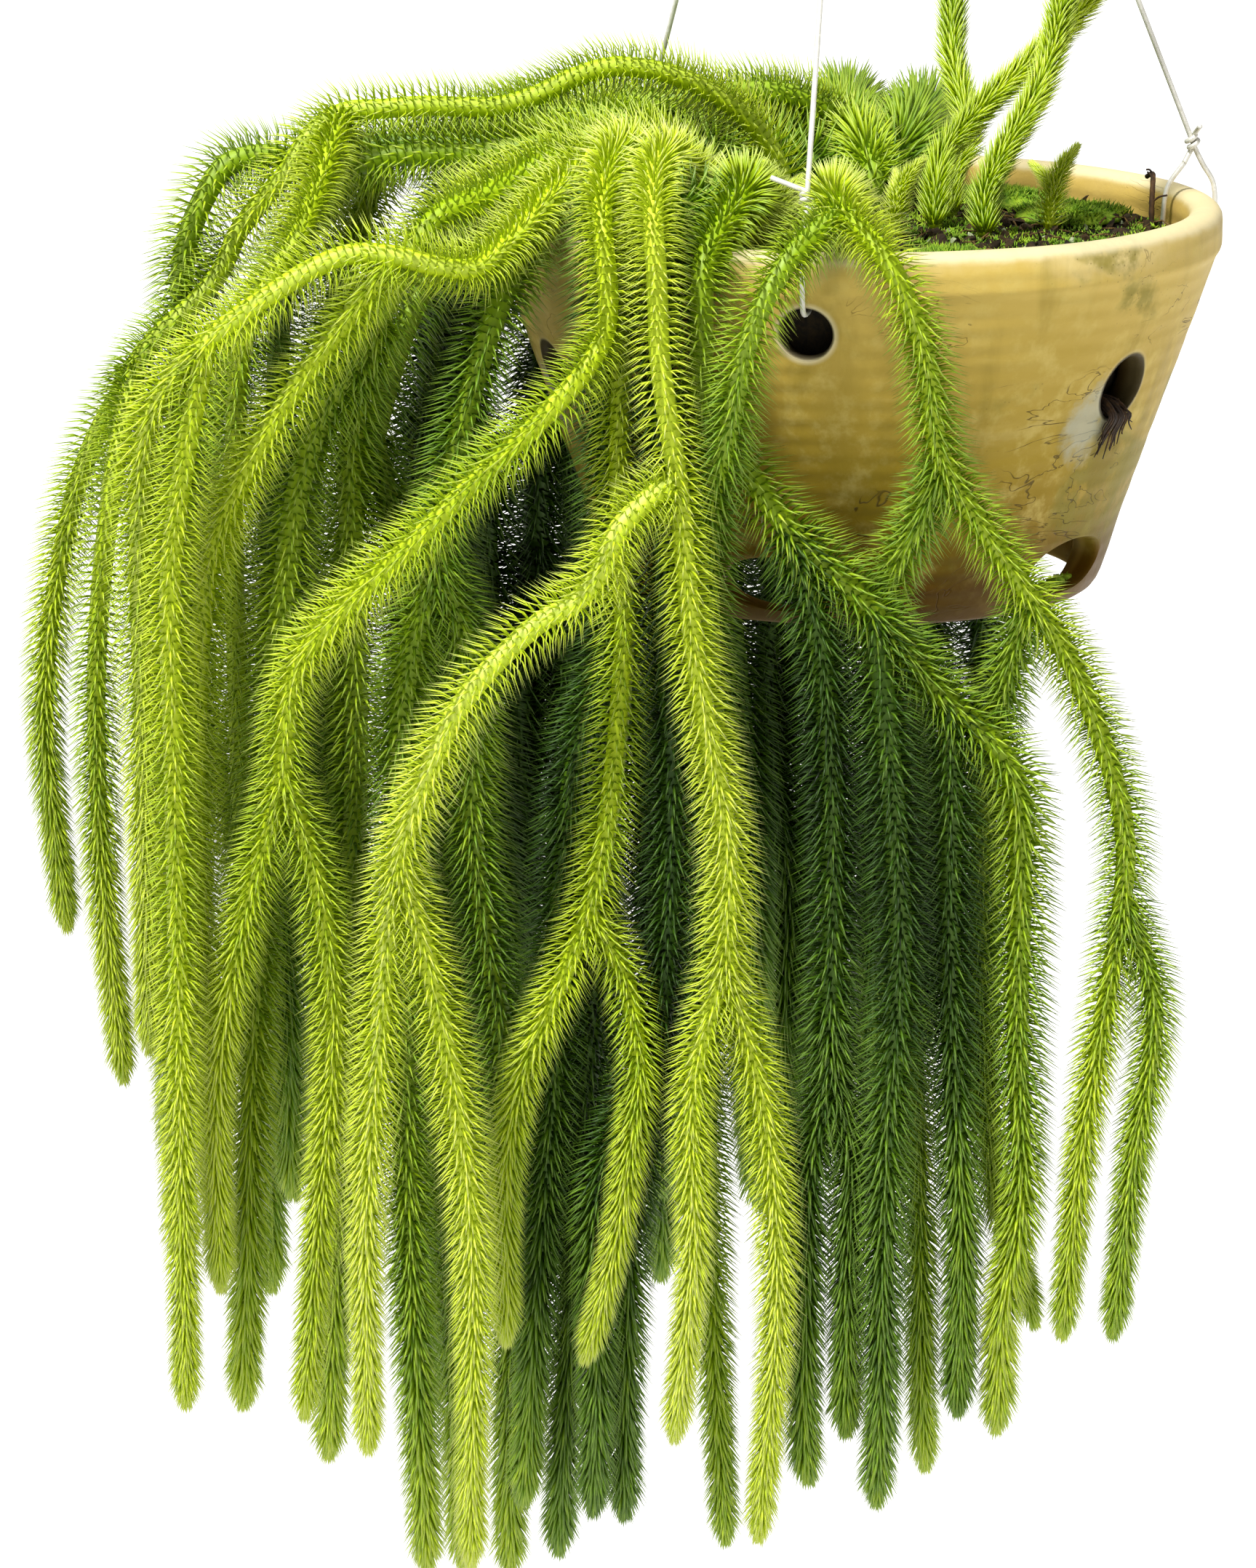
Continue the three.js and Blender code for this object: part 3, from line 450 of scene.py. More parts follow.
def pot_material():
    shader = Shader("yellow_terracotta")
    x, y, z = (shader.node("ShaderNodeSeparateXYZ", {0: shader.place()}, output=k) for k in range(3))
    height = (z - RIM) / MM
    azimuth = x.math("ARCTAN2", y * -1.0)
    radius = (x**2 + y**2).math("SQRT") / MM

    broad = shader.noise(16.0, detail=5.0, distortion=0.6)
    fine = shader.noise(120.0, detail=6.0, roughness=0.65)
    streaks = shader.noise(55.0, shader.place((1, 1, 0.16)), detail=5.0, distortion=0.4)
    wiped = shader.noise(40.0, shader.place((0.5, 0.5, 2.2)), detail=4.0, distortion=0.8)

    # The fired colour deepens from rim to foot.
    share = (height + (broad - 0.5) * 55.0) / -POT_HEIGHT
    colour = shader.colours(
        share,
        [(0.0, "DCC684"), (0.08, "CCB05A"), (0.35, "BCA046"), (0.6, "AF932F"), (0.8, "967918"),
         (1.0, "7A5A10")],
    )
    colour = colour.tint(fine.step(0.45, 0.75), 1.0, "CDB562")
    colour = colour.tint(streaks.step(0.5, 0.72), 0.4, "86741C")
    colour = colour.tint(wiped.step(0.55, 0.8), 0.35, "D8C27A")

    # Olive growth in patches, more of it low down.
    olive = (broad + share * 0.12).step(0.55, 0.64) * fine.step(0.3, 0.55)
    colour = colour.tint(olive, 0.7, "7C7420")

    # Dark scratches and specks, both in patches of their own.
    scratch_field = shader.noise(38.0, shader.place((0.5, 0.5, 1.4)), detail=3.0, distortion=2.5)
    scratched = shader.noise(22.0, detail=2.0).step(0.53, 0.6)
    scratch = abs(scratch_field - 0.5).step(0.011, 0.001) * scratched
    colour = colour.tint(scratch, 0.75, "4A3A12")
    specks = shader.cells(420.0).step(0.16, 0.06) * broad.step(0.42, 0.6)
    colour = colour.tint(specks, 0.5, "5C4716")

    def from_holes(first, depth, repeat):
        """Millimetres over the wall from the nearest hole's middle: the distance, sideways and up."""
        turned = azimuth - math.radians(first - 180.0 / repeat) + 4 * math.pi
        local = turned.math("MODULO", 2 * math.pi / repeat) - math.pi / repeat
        side = local * radius
        rise = height + depth
        return (side**2 + rise**2).math("SQRT"), side, rise

    # Glaze worn pale round the holes.
    hang = from_holes(HANG_AZIMUTHS[0], HANG_DEPTH, 1)[0]
    for other in HANG_AZIMUTHS[1:]:
        hang = hang.math("MINIMUM", from_holes(other, HANG_DEPTH, 1)[0])
    vent, vent_side, vent_rise = from_holes(VENT_AZIMUTHS[0], VENT_DEPTH, len(VENT_AZIMUTHS))
    worn_hang = hang.step(HANG_RADIUS + 2.6, HANG_RADIUS + 0.6)
    worn_vent = vent.step(VENT_RADIUS + 2.8, VENT_RADIUS + 0.8) * 0.4
    colour = colour.tint(worn_hang.math("MAXIMUM", worn_vent), 0.75, "E9DDB4")

    # Below each vent water has left a grey bloom on one side and a brown run under the roots.
    edge = (fine - 0.5) * 14.0
    bloom = ((vent_side + 11.0) ** 2 + ((vent_rise + 9.0) * 0.8) ** 2).math("SQRT")
    colour = colour.tint((bloom + edge * 1.6).step(12.0, 3.0), 0.6, "B9BFB2")
    run = abs(vent_side + edge - 3.0).step(9.0, 3.0) * vent_rise.step(-7.0, -12.0)
    run *= vent_rise.step(-52.0, -18.0)
    colour = colour.tint(run, 0.65, "85701A")

    # Painted highlight along the lip; a dark foot, partly a stain and partly painted shade where the wall
    # turns under; and the inside, bare above the soil and stained under it.
    # The pale lip tint is a painted highlight.
    lip = (height + edge * 0.25).step(-3.4, -0.8)
    colour = colour.tint(lip, 0.7, "F0E3B8")
    # Dark foot: partly a brown stain, partly painted shade where the wall turns under.
    foot_stain_and_shade = (height + edge).step(-84.0, -106.0)
    colour = colour.tint(foot_stain_and_shade, 0.82, "5E3E04")
    inner = (radius - height * 0.345).step(109.5, 106.0) * height.step(-1.0, -3.0)
    colour = colour.tint(inner, 0.7, "D8B660")
    stained = radius.step(98.5, 96.5) * height.step(SOIL_TOP + 4.0, SOIL_TOP - 3.0)
    colour = colour.tint(stained * inner, 0.7, "4A3612")

    # Painted shade: the sides of the holes darkened near black.
    hang_painted_shade = hang.step(HANG_RADIUS + 1.2, HANG_RADIUS)
    vent_painted_shade = vent.step(VENT_RADIUS + 1.8, VENT_RADIUS + 0.7)
    colour = colour.tint(hang_painted_shade.math("MAXIMUM", vent_painted_shade), 0.9, "1E1304")

    turning_rings = ((height + broad * 4.0) * 1.15).math("SINE")
    bumps = turning_rings * 0.25 + fine * 0.9 + streaks * 0.6 - scratch * 0.6
    return shader.surface(colour, fine * 0.35 + 0.33, bumps, 0.0006, 0.6, Specular_IOR_Level=0.14)


def soil_material(name, dark, light, grain=420.0):
    shader = Shader(name)
    fibre = shader.noise(grain, shader.place((1, 1, 0.4)), detail=6.0, roughness=0.7, distortion=1.0)
    patches = shader.noise(60.0, detail=3.0)
    colour = shader.mix(fibre.step(0.35, 0.7), rgb(dark), rgb(light))
    colour = colour.tint(patches.step(0.5, 0.7), 0.5, "130D07")
    return shader.surface(colour, fibre * 0.2 + 0.75, fibre, 0.0008, 0.8, Specular_IOR_Level=0.3)


def moss_material():
    shader = Shader("moss")
    patches = shader.noise(110.0, detail=3.0)
    fine = shader.noise(700.0, detail=3.0)
    colour = shader.colours(patches, [(0.3, "3F6412"), (0.5, "6F9A1A"), (0.68, "A6C42A")])
    colour = colour.tint(fine.step(0.45, 0.7), 0.5, "C6DC4C")
    return shader.surface(colour, fine * 0.2 + 0.6, Specular_IOR_Level=0.3)


def wire_material():
    """Galvanised wire, weathered almost white."""
    shader = Shader("galvanised_wire")
    spangle = shader.node("ShaderNodeSeparateColor", {0: shader.cells(900.0, output=1)})
    tarnish = shader.noise(140.0, detail=5.0)
    colour = shader.mix(spangle, rgb("E2E0D6"), rgb("F2F0E8"))
    colour = colour.tint(tarnish.step(0.5, 0.7), 0.4, "BDB8AA")
    return shader.surface(colour, tarnish * 0.35 + 0.35, tarnish, 0.0002, 0.4, Metallic=0.25)


def root_material():
    shader = Shader("dark_root")
    fine = shader.noise(500.0, shader.place((1, 1, 0.3)), detail=5.0)
    colour = shader.colours(fine, [(0.3, "1A1008"), (0.55, "3A2612"), (0.75, "6A4A22")])
    return shader.surface(colour, fine * 0.3 + 0.6, fine, 0.0003, 0.7)


# Growth of the shoots, as the CAD grows them --------------------------------------------------

OUTLINE = np.array([
    [RIM_RADIUS - 3, 0],
    [RIM_RADIUS - 0.8, -1],
    [RIM_RADIUS, -3.2],
    [RIM_RADIUS, -COLLAR_HEIGHT],
    [RIM_RADIUS - COLLAR_STEP, -COLLAR_HEIGHT - 2],
    [HEEL_RADIUS, -POT_HEIGHT + HEEL_HEIGHT],
    [FOOT_RADIUS + 3.8, -POT_HEIGHT + 8],
    [FOOT_RADIUS + 1.8, -POT_HEIGHT + 2],
    [FOOT_RADIUS, -POT_HEIGHT],
])


def outer_radius(height):
    inside = np.interp(height, OUTLINE[::-1, 1], OUTLINE[::-1, 0])
    return np.where(np.asarray(height) >= 0, RIM_RADIUS, inside)


def inner_radius(height):
    return np.minimum(outer_radius(height), RIM_RADIUS - COLLAR_STEP) - WALL


def wire_path(azimuth, eye_turn):
    eye_radius = HOOK_RADIUS + WIRE_RADIUS + 0.4
    turn = math.radians(eye_turn)
    out_of_bend = np.array([math.sin(turn), 0, -math.cos(turn)])
    eye_centre = out_of_bend * LOWER_BEND + [0, 0, HOOK_LOWER]
    side = math.copysign(1, outward(azimuth)[1])
    eye = []
    for degrees in (300, 255, 210, 165, 120, 75, 30):
        t = math.radians(degrees)
        sideways = [0, side * eye_radius * math.sin(t), 0]
        eye.append(eye_centre + out_of_bend * eye_radius * math.cos(t) - sideways)
    leave = eye_centre + out_of_bend * (eye_radius + 0.6) + [0, side * 1.2, 0]
    middle = RIM_RADIUS - WALL / 2
    twist = polar(azimuth, middle, TWIST_HEIGHT)
    hole_top = -HANG_DEPTH + HANG_RADIUS - WIRE_RADIUS - 0.4
    out = RIM_RADIUS + WIRE_RADIUS + 1.4
    back = float(inner_radius(hole_top)) - WIRE_RADIUS - 1.4
    loop = [
        (middle + 2.6, TWIST_HEIGHT - 5),
        (out - 0.8, 3),
        (out, -5),
        (out - 0.6, hole_top + 2.6),
        (out - 3.4, hole_top + 0.1),
        (back + 1.6, hole_top),
        (back - 0.2, hole_top + 2.4),
        (back - 0.3, -7),
        (back + 1, 2),
        (middle - 3.4, TWIST_HEIGHT - 4.5),
    ]
    stem_way = unit(leave - twist)
    beside = outward(azimuth + 90) * -(2 * WIRE_RADIUS + 0.5)
    crossing = twist + beside + stem_way * 0.8
    tail = crossing + beside * 1.2 + stem_way * 2.5
    stem = [leave + (twist - leave) * share for share in (0, 0.03, 0.5, 0.97)]
    ends = [crossing, tail, tail + unit(beside) * TAIL]
    return [*eye, *stem, twist, *(polar(azimuth, *place) for place in loop), *ends]


def on_plan(point):
    x, y, z = point
    reach = math.hypot(x, y)
    grown = RIM_RADIUS - PLAN_RADIUS
    moved = reach * RIM_RADIUS / PLAN_RADIUS if reach < PLAN_RADIUS else reach + grown
    return np.array([x * moved / reach, y * moved / reach, z], float)


def back_plan(index, azimuth, root_radius, reach, length):
    def at(turn, radius, height):
        return np.floor(polar(azimuth + turn, radius, height) + 0.5).tolist()

    out = PLAN_RADIUS + reach
    line = [
        at(0, 88, 12), at(0, out - 14, 10), at(1, out, -20), at(2, out + 4, -70), at(2, out + 6, -130),
        at(4, out + 8, -length * 0.7), at(5, out + 8, -length),
    ]
    near = [at(-4, out + 6, -110), at(-6, out + 8, -length * 0.6), at(-6, out + 10, -length * 0.94)]
    far = [at(6, out + 4, -175), at(9, out + 2, -length * 0.7), at(9, out, -length * 0.9)]
    inner = [at(1, out - 10, -185), at(0, out - 18, -length * 0.68), at(0, out - 20, -length * 0.84)]
    forks = [[3, near, []], [4, far, []], [4, inner, []]]
    return [f"shoot_back_{index + 1}", at(0, root_radius, 0)[:2], line, forks]


def grow_strands(shoot, line, forks, start, parent, found):
    """Adds the unforked lengths of a shoot to those found, parents first. A length's parent is the
    strand that it forks from and the place of the fork among that strand's points."""
    points = spaced([*start, *map(on_plan, line)], STEP)
    strand = {"shoot": shoot, "points": points, "parent": parent}
    found.append(strand)
    for at, fork_line, own_forks in forks:
        origin = int(np.linalg.norm(points - on_plan(line[at]), axis=1).argmin())
        grow_strands(shoot, fork_line, own_forks, [points[origin]], (strand, origin), found)
    return found


def plant_strands():
    strands = []
    for name, (x, y), line, forks in [*PLAN, *(back_plan(i, *row) for i, row in enumerate(BACK_SHOOTS))]:
        root = on_plan([x, y, 0])
        root[2] = GROUND
        found = grow_strands(name, line, forks, [root, root + [0, 0, ROOT_RISE]], None, [])
        found[0]["points"][1][:2] = root[:2]
        strands += found
    return strands


def push_off_pot(points):
    radius = np.hypot(points[:, 0], points[:, 1])
    height = points[:, 2]
    outer = outer_radius(np.minimum(height, 0)) + POT_SPACING
    inner = inner_radius(np.minimum(height, 0)) - POT_SPACING
    floor = SOIL_TOP + POT_SPACING
    push = np.zeros_like(points)
    sunk = (radius < inner) & (height < floor) & (height > BASE_TOP)
    push[sunk, 2] = floor - height[sunk]
    near = ~sunk & (height <= POT_SPACING) & (height >= -POT_HEIGHT) & (radius <= outer) & (radius >= inner)
    ways = np.stack([outer - radius, radius - inner, POT_SPACING - height], 1)
    least = ways.argmin(1)
    sideways = np.where(least == 0, ways[:, 0], -ways[:, 1]) / np.maximum(radius, 1e-6)
    flat = near & (least < 2)
    push[flat, :2] = points[flat, :2] * sideways[flat, None]
    over = near & (least == 2)
    push[over, 2] = ways[over, 2]
    return push


def settle(strands):
    """Moves the strands apart, as the CAD does."""
    counts = [len(strand["points"]) for strand in strands]
    ends = np.cumsum(counts)
    points = np.concatenate([strand["points"] for strand in strands])
    owner = np.repeat(np.arange(len(strands)), counts)
    shoot = np.array([strand["shoot"] for strand in strands])[owner]
    forked = np.array([strand["parent"] is not None for strand in strands])[owner]
    place = np.concatenate([np.arange(count) for count in counts])
    free = forked & (place * STEP < STIFF_START)
    apart = np.linalg.norm(points[:, None] - points[None], axis=2)
    a, b = np.nonzero(np.triu(apart < PAIR_REACH, 1))
    kept = (owner[a] != owner[b]) & ~((shoot[a] == shoot[b]) & (free[a] | free[b]))
    a, b = a[kept], b[kept]
    obstacles = np.concatenate([spaced(path, STEP) for path in WIRE_PATHS])
    for _ in range(ROUNDS):
        push = push_off_pot(points)
        offset = points[a] - points[b]
        distance = np.linalg.norm(offset, axis=1)
        close = distance < SHOOT_SPACING
        half = offset[close] * ((SHOOT_SPACING - distance[close]) / (2 * distance[close]))[:, None]
        np.add.at(push, a[close], half)
        np.subtract.at(push, b[close], half)
        offset = points[:, None] - obstacles[None]
        distance = np.linalg.norm(offset, axis=2)
        share = np.where(distance < WIRE_SPACING, WIRE_SPACING / np.maximum(distance, 1e-6) - 1, 0)
        push += (offset * share[..., None]).sum(1)
        for strand, end, count in zip(strands, ends, counts):
            own = slice(end - count, end)
            pushes = push[own]
            padded = np.vstack([pushes[:1], pushes, pushes[-1:]])
            smooth = (padded[:-2] + padded[2:] + 2 * pushes) / 4
            held = 0 if strand["parent"] else ROOT_RISE
            ease = np.clip((np.arange(count) * STEP - held) / STIFF_START, 0, 1)
            carried = strand["parent"][0]["moves"][strand["parent"][1]] if strand["parent"] else 0
            strand["moves"] = smooth * ease[:, None] + carried
            points[own] += strand["moves"]
    for strand, end, count in zip(strands, ends, counts):
        strand["points"] = points[end - count : end]


# Leaves ---------------------------------------------------------------------------------------

NEEDLE_SHARES = (0.0, 0.42, 1.0)  # where a needle's two sections and its tip lie along it
NEEDLE_WIDTHS = (1.0, 0.9)  # of its sections


def needle_faces():
    """Triangles of one needle: two sections of left edge, keel and right edge, and a tip."""
    faces = [(0, 1, 2)]
    for k in range(3):
        a, b = k, (k + 1) % 3
        faces += [(a, b + 3, b), (a, a + 3, b + 3), (a + 3, 6, b + 3)]
    return np.array(faces)


def needles(base, along, out, length, angles, width, tone):
    """Closed three-sided needles. Each starts at its base on the side out of its shoot, and angles are
    those of its lower and upper length to the shoot's direction along."""
    side = unit(np.cross(along, out))
    sections = []
    at = base.copy()
    for k in range(2):
        turn = ((angles[k] + angles[0]) / 2)[:, None]
        back = np.cos(turn) * out - np.sin(turn) * along
        wide = (width * NEEDLE_WIDTHS[k])[:, None]
        sections.append(np.stack([at - side * wide / 2, at + back * wide * 0.3, at + side * wide / 2], 1))
        way = np.cos(angles[k])[:, None] * along + np.sin(angles[k])[:, None] * out
        at = at + way * (length * (NEEDLE_SHARES[k + 1] - NEEDLE_SHARES[k]))[:, None]
    points = np.concatenate([*sections, at[:, None]], 1)
    count = len(base)
    across = np.array([0.04, 0.5, 0.96] * 2 + [0.5])
    shares = np.repeat(NEEDLE_SHARES, (3, 3, 1)) * 0.92 + 0.04
    column = np.clip(np.round(tone * (TONES - 1)), 0, TONES - 1)
    uv = np.stack([(column[:, None] + across) / TONES, np.broadcast_to(shares, (count, 7))], -1)
    faces = needle_faces()[None] + np.arange(count)[:, None, None] * 7
    return points.reshape(-1, 3), faces.reshape(-1, 3), uv.reshape(-1, 2)


def clear_of_pot(points, gap=0.25):
    """Slides points that would lie in the pot's wall or in the soil out to the nearest surface."""
    radius = np.hypot(points[:, 0], points[:, 1])
    height = points[:, 2]
    outer, inner = outer_radius(np.minimum(height, -0.01)), inner_radius(np.minimum(height, -0.01))
    in_wall = (height < LIP_TOP + gap) & (height > -POT_HEIGHT)
    in_wall &= (radius < outer + gap) & (radius > inner - gap)
    lifted = in_wall & (height > -3)
    points[lifted, 2] = LIP_TOP + gap
    slid = in_wall & ~lifted
    target = np.where(radius > (outer + inner) / 2, outer + gap, inner - gap)
    points[slid, :2] *= (target / np.maximum(radius, 1e-6))[slid, None]
    buried = (radius < inner) & (height < SOIL_TOP + gap) & (height > BASE_TOP)
    points[buried, 2] = SOIL_TOP + gap
    return points


def smoothstep(value):
    value = np.clip(value, 0, 1)
    return value * value * (3 - 2 * value)


OPEN_LENGTH = 170.0  # distance from a tip over which the leaves open out
UPRIGHT_OPEN_LENGTH = 800.0  # the leaves of the uprights stay close
WHORL = 17  # leaves in each ring round the stem
RING_GAP, RING_GAP_GROWTH = 1.45, 0.9  # between rings at a tip, and how much more between open ones
CORE_RADIUS, CORE_SIDES, CORE_LIFT = 2.1, 7, 0.1  # stem at a tip, its sides and its added brightness
LEAF_LENGTH, LEAF_GROWTH, LEAF_WIDTH = 8.0, 2.6, 0.95
TIP_SPREAD, OPENING, BASE_BEND = 34, 30, 22  # degrees to the stem, added when open, and at the base
BUD_LENGTH = 9.0  # at a tip the leaves are shorter and folded together
TIP_LIFT, SKY_PAINTED_LIGHT = 0.3, 0.34  # how much brighter young leaves are, and the painted light on leaves over the rim


def leafy(points, tone, size, open_length, first):
    """One unforked length of shoot: a core of leaf bases round the stem, and rings of leaves, which lie
    close at the tip and stand out farther down. The first ring is at a distance from the base."""
    line = spaced(points, 3.0)
    tangents, normals, binormals = frames(line)
    lengths = np.concatenate([[0], np.cumsum(np.linalg.norm(np.diff(line, axis=0), axis=1))])
    total = lengths[-1]
    grown = smoothstep((total - lengths) / open_length)
    core_radius = (CORE_RADIUS + grown) * size
    core_radius[-3:] *= (0.9, 0.7, 0.3)
    core_points, core_faces = tube(line, core_radius, CORE_SIDES)
    around = np.tile(np.linspace(0.15, 0.85, CORE_SIDES), len(line))
    column = np.clip(round((tone + CORE_LIFT) * (TONES - 1)), 0, TONES - 1)
    speckle = 0.08 + 0.2 * RANDOM.uniform(size=len(around))
    core_uv = np.stack([(column + around) / TONES, speckle], -1)

    whorls = [first]
    while whorls[-1] < total - 0.5:
        gap = RING_GAP + RING_GAP_GROWTH * smoothstep((total - whorls[-1]) / open_length)
        whorls.append(whorls[-1] + gap * min(size, 1.0))
    rows = np.repeat(np.arange(len(whorls)), WHORL)
    count = len(rows)
    at = np.repeat(whorls, WHORL) + RANDOM.uniform(-0.22, 0.22, count)
    opened = smoothstep((total - at) / open_length)

    def along_line(values):
        return np.stack([np.interp(at, lengths, values[:, k]) for k in range(3)], 1)

    turn = (np.arange(count) % WHORL + rows * 0.5) * (2 * math.pi / WHORL) + rows * 0.03
    turn += RANDOM.uniform(-0.1, 0.1, count)
    tangent = unit(along_line(tangents))
    out = unit(np.cos(turn)[:, None] * along_line(normals) + np.sin(turn)[:, None] * along_line(binormals))
    out = unit(out - tangent * (out * tangent).sum(1, keepdims=True))
    base = along_line(line) + out * (np.interp(at, lengths, core_radius) * 0.72)[:, None]
    length = (LEAF_LENGTH + LEAF_GROWTH * opened) * size * RANDOM.normal(1, 0.05, count).clip(0.7, 1.3)
    spread = TIP_SPREAD + OPENING * opened + RANDOM.normal(0, 2.4, count)
    angles = np.radians([spread + BASE_BEND * opened, spread])
    bud = np.clip((total - at) / BUD_LENGTH, 0, 1)
    length *= 0.62 + 0.38 * bud
    angles *= 0.45 + 0.55 * bud
    width = LEAF_WIDTH * size * RANDOM.normal(1, 0.08, count)
    wave = 0.06 * np.sin(at / 23 + tone * 40)
    # Young leaves are lighter; leaves over the rim get painted light.
    young_and_painted_light = np.maximum(TIP_LIFT * (1 - opened), SKY_PAINTED_LIGHT * smoothstep((base[:, 2] + 35) / 45))
    leaf_tone = tone + wave + (1 - tone) * young_and_painted_light + RANDOM.normal(0, 0.05, count)
    leaf_points, leaf_faces, leaf_uv = needles(base, tangent, out, length, angles, width, leaf_tone)
    all_points, all_faces = joined([(core_points, core_faces), (leaf_points, leaf_faces)])
    return all_points, all_faces, np.concatenate([core_uv, leaf_uv])


def shoot_piece(name, lengths, node):
    points, faces = joined([part[:2] for part in lengths])
    uv = np.concatenate([part[2] for part in lengths])
    mesh_piece(name, clear_of_pot(points), faces, LEAF, "shoots", [node], uv)


# Pot ------------------------------------------------------------------------------------------


def pot_profile():
    """The pot's section as a closed outline, from the lip down the outside and up the inside."""
    wall = np.linspace(-14.0, -POT_HEIGHT + HEEL_HEIGHT, 44)
    lip_outside = [
        (-4.5, LIP_TOP), (-3.2, 0.45), (-2.0, -0.05), (-1.0, -0.9), (-0.3, -2.1), (0.0, -3.6), (0.0, -6.0),
        (0.0, -8.5), (-0.1, -10.6), (-0.5, -11.9), (-1.1, -12.9),
    ]
    lip_inside = [
        (-10.7, -12.0), (-10.7, -8.0), (-10.7, -4.6), (-10.4, -2.8), (-9.7, -1.4), (-8.6, -0.3), (-7.4, 0.3),
        (-6.0, LIP_TOP),
    ]
    foot = [
        (7.0, 18.5), (6.0, 15.0), (4.9, 11.5), (3.8, 8.0), (2.7, 5.0), (1.6, 2.6), (0.4, 0.9), (-0.8, 0.1),
        (-2.5, 0.0), (-4.2, 0.3), (-5.5, 1.3), (-6.0, 2.8), (-5.3, 7.0), (-3.9, 13.0), (-2.3, 18.5),
    ]
    edge, drain_edge, floor_edge = inner_radius(BASE_UNDER), DRAIN_RADIUS + 1, inner_radius(BASE_TOP)
    under = [(radius, BASE_UNDER) for radius in (edge - 2.5, 50.0, 30.0, drain_edge)]
    drain = [(DRAIN_RADIUS, BASE_UNDER + 1), (DRAIN_RADIUS, BASE_TOP - 1)]
    floor = [(radius, BASE_TOP) for radius in (drain_edge, 30.0, 55.0, floor_edge - 2)]
    return [
        *((RIM_RADIUS + radius, height) for radius, height in lip_outside),
        *((outer_radius(height), height) for height in wall),
        *((FOOT_RADIUS + radius, height - POT_HEIGHT) for radius, height in foot),
        (edge - 0.6, BASE_UNDER - 1), *under, *drain, *floor, (floor_edge, BASE_TOP + 2),
        *((inner_radius(height), height) for height in np.linspace(-78, -15, 18)),
        *((RIM_RADIUS + radius, height) for radius, height in lip_inside),
    ]


def wall_cutter(azimuth, middle, half_width, half_height, inner_of, sides):
    """A plug through the wall, flared where it meets either face, so that the hole's edge is worn round."""
    outer_flares = [(9.0, 1.9), (0.5, 1.25), (-0.25, 0.55), (-1.1, 0.12), (-2.4, 0.0)]
    inner_flares = [(2.4, 0.0), (1.1, 0.12), (0.25, 0.5), (-0.5, 1.1), (-9.0, 1.7)]
    sections = [(outer_radius, *flare) for flare in outer_flares]
    sections += [(inner_of, *flare) for flare in inner_flares]
    turns = ring_turns(sides)
    out, side, up = outward(azimuth), outward(azimuth + 90), [0, 0, 1]
    rows = []
    for surface, offset, flare in sections:
        across = (half_width + flare) * np.cos(turns)
        height = middle + (half_height + flare) * np.sin(turns)
        reach = np.sqrt((surface(height) + offset) ** 2 - across**2)
        rows.append(np.outer(reach, out) + np.outer(across, side) + np.outer(height, up))
    return np.concatenate(rows), closed_rings(len(sections), sides)


def foot_inner(height):
    """Radius of the inner face of the foot, which widens up to the base."""
    foot = FOOT_RADIUS - FOOT_WALL
    share = np.clip((height + POT_HEIGHT) / (BASE_UNDER + POT_HEIGHT), 0, 1)
    return foot + (float(inner_radius(BASE_UNDER)) - foot) * share


def build_pot():
    profile = pot_profile()
    sides = 180
    rows = np.array([circle(float(radius), height, sides) for radius, height in profile])
    for row in rows:
        for point in row:
            where = Vector(point)
            swell = noise.noise(where * 0.02) * 0.5 + noise.noise(where * Vector((0.03, 0.03, 0.25))) * 0.18
            point[:2] += point[:2] / math.hypot(point[0], point[1]) * swell
    faces = ring_skin(len(profile), len(profile), sides)
    pot = mesh_piece("pot_shell", rows.reshape(-1, 3), faces[:, ::-1], POT, "terracotta", ["pot"])
    arch = -POT_HEIGHT + ARCH_LIP + ARCH_HEIGHT / 2
    arch_azimuths = [ARCH_FIRST + k * 360 / ARCH_COUNT for k in range(ARCH_COUNT)]
    cutters = []
    for azimuths, middle, half_width, half_height, inner_of, round_sides in (
        (HANG_AZIMUTHS, -HANG_DEPTH, HANG_RADIUS, HANG_RADIUS, inner_radius, 40),
        (VENT_AZIMUTHS, -VENT_DEPTH, VENT_RADIUS, VENT_RADIUS, inner_radius, 44),
        (arch_azimuths, arch, ARCH_WIDTH / 2, ARCH_HEIGHT / 2, foot_inner, 48),
    ):
        for azimuth in azimuths:
            cutters.append(wall_cutter(azimuth, middle, half_width, half_height, inner_of, round_sides))
    plug_points, plug_faces = joined(cutters)
    plugs = mesh_piece("plugs", plug_points, plug_faces, POT, "terracotta")
    face_outwards(pot.data)
    face_outwards(plugs.data)
    cut = pot.modifiers.new("holes", "BOOLEAN")
    cut.operation = "DIFFERENCE"
    cut.solver = "EXACT"
    cut.object = plugs
    bpy.context.view_layer.update()
    evaluated = pot.evaluated_get(bpy.context.evaluated_depsgraph_get())
    holed = bpy.data.meshes.new_from_object(evaluated)
    pot.modifiers.clear()
    pot.data = holed
    bpy.data.objects.remove(plugs)
    holed.polygons.foreach_set("use_smooth", np.full(len(holed.polygons), True))
    holed.set_sharp_from_angle(angle=math.radians(50))
    return pot


def face_outwards(mesh):
    work = bmesh.new()
    work.from_mesh(mesh)
    bmesh.ops.recalc_face_normals(work, faces=work.faces)
    work.to_mesh(mesh)
    work.free()


# Filling --------------------------------------------------------------------------------------

CUSHION_BLADES, CUSHION_SIDES = 900, 24


def relief(x, y):
    """Height of the soil's lumps above its plane."""
    where = Vector((x * 0.06, y * 0.06, 3.0))
    return noise.noise(where) * 1.6 + noise.noise(where * 4) * 0.9 + noise.noise(where * 13) * 0.5


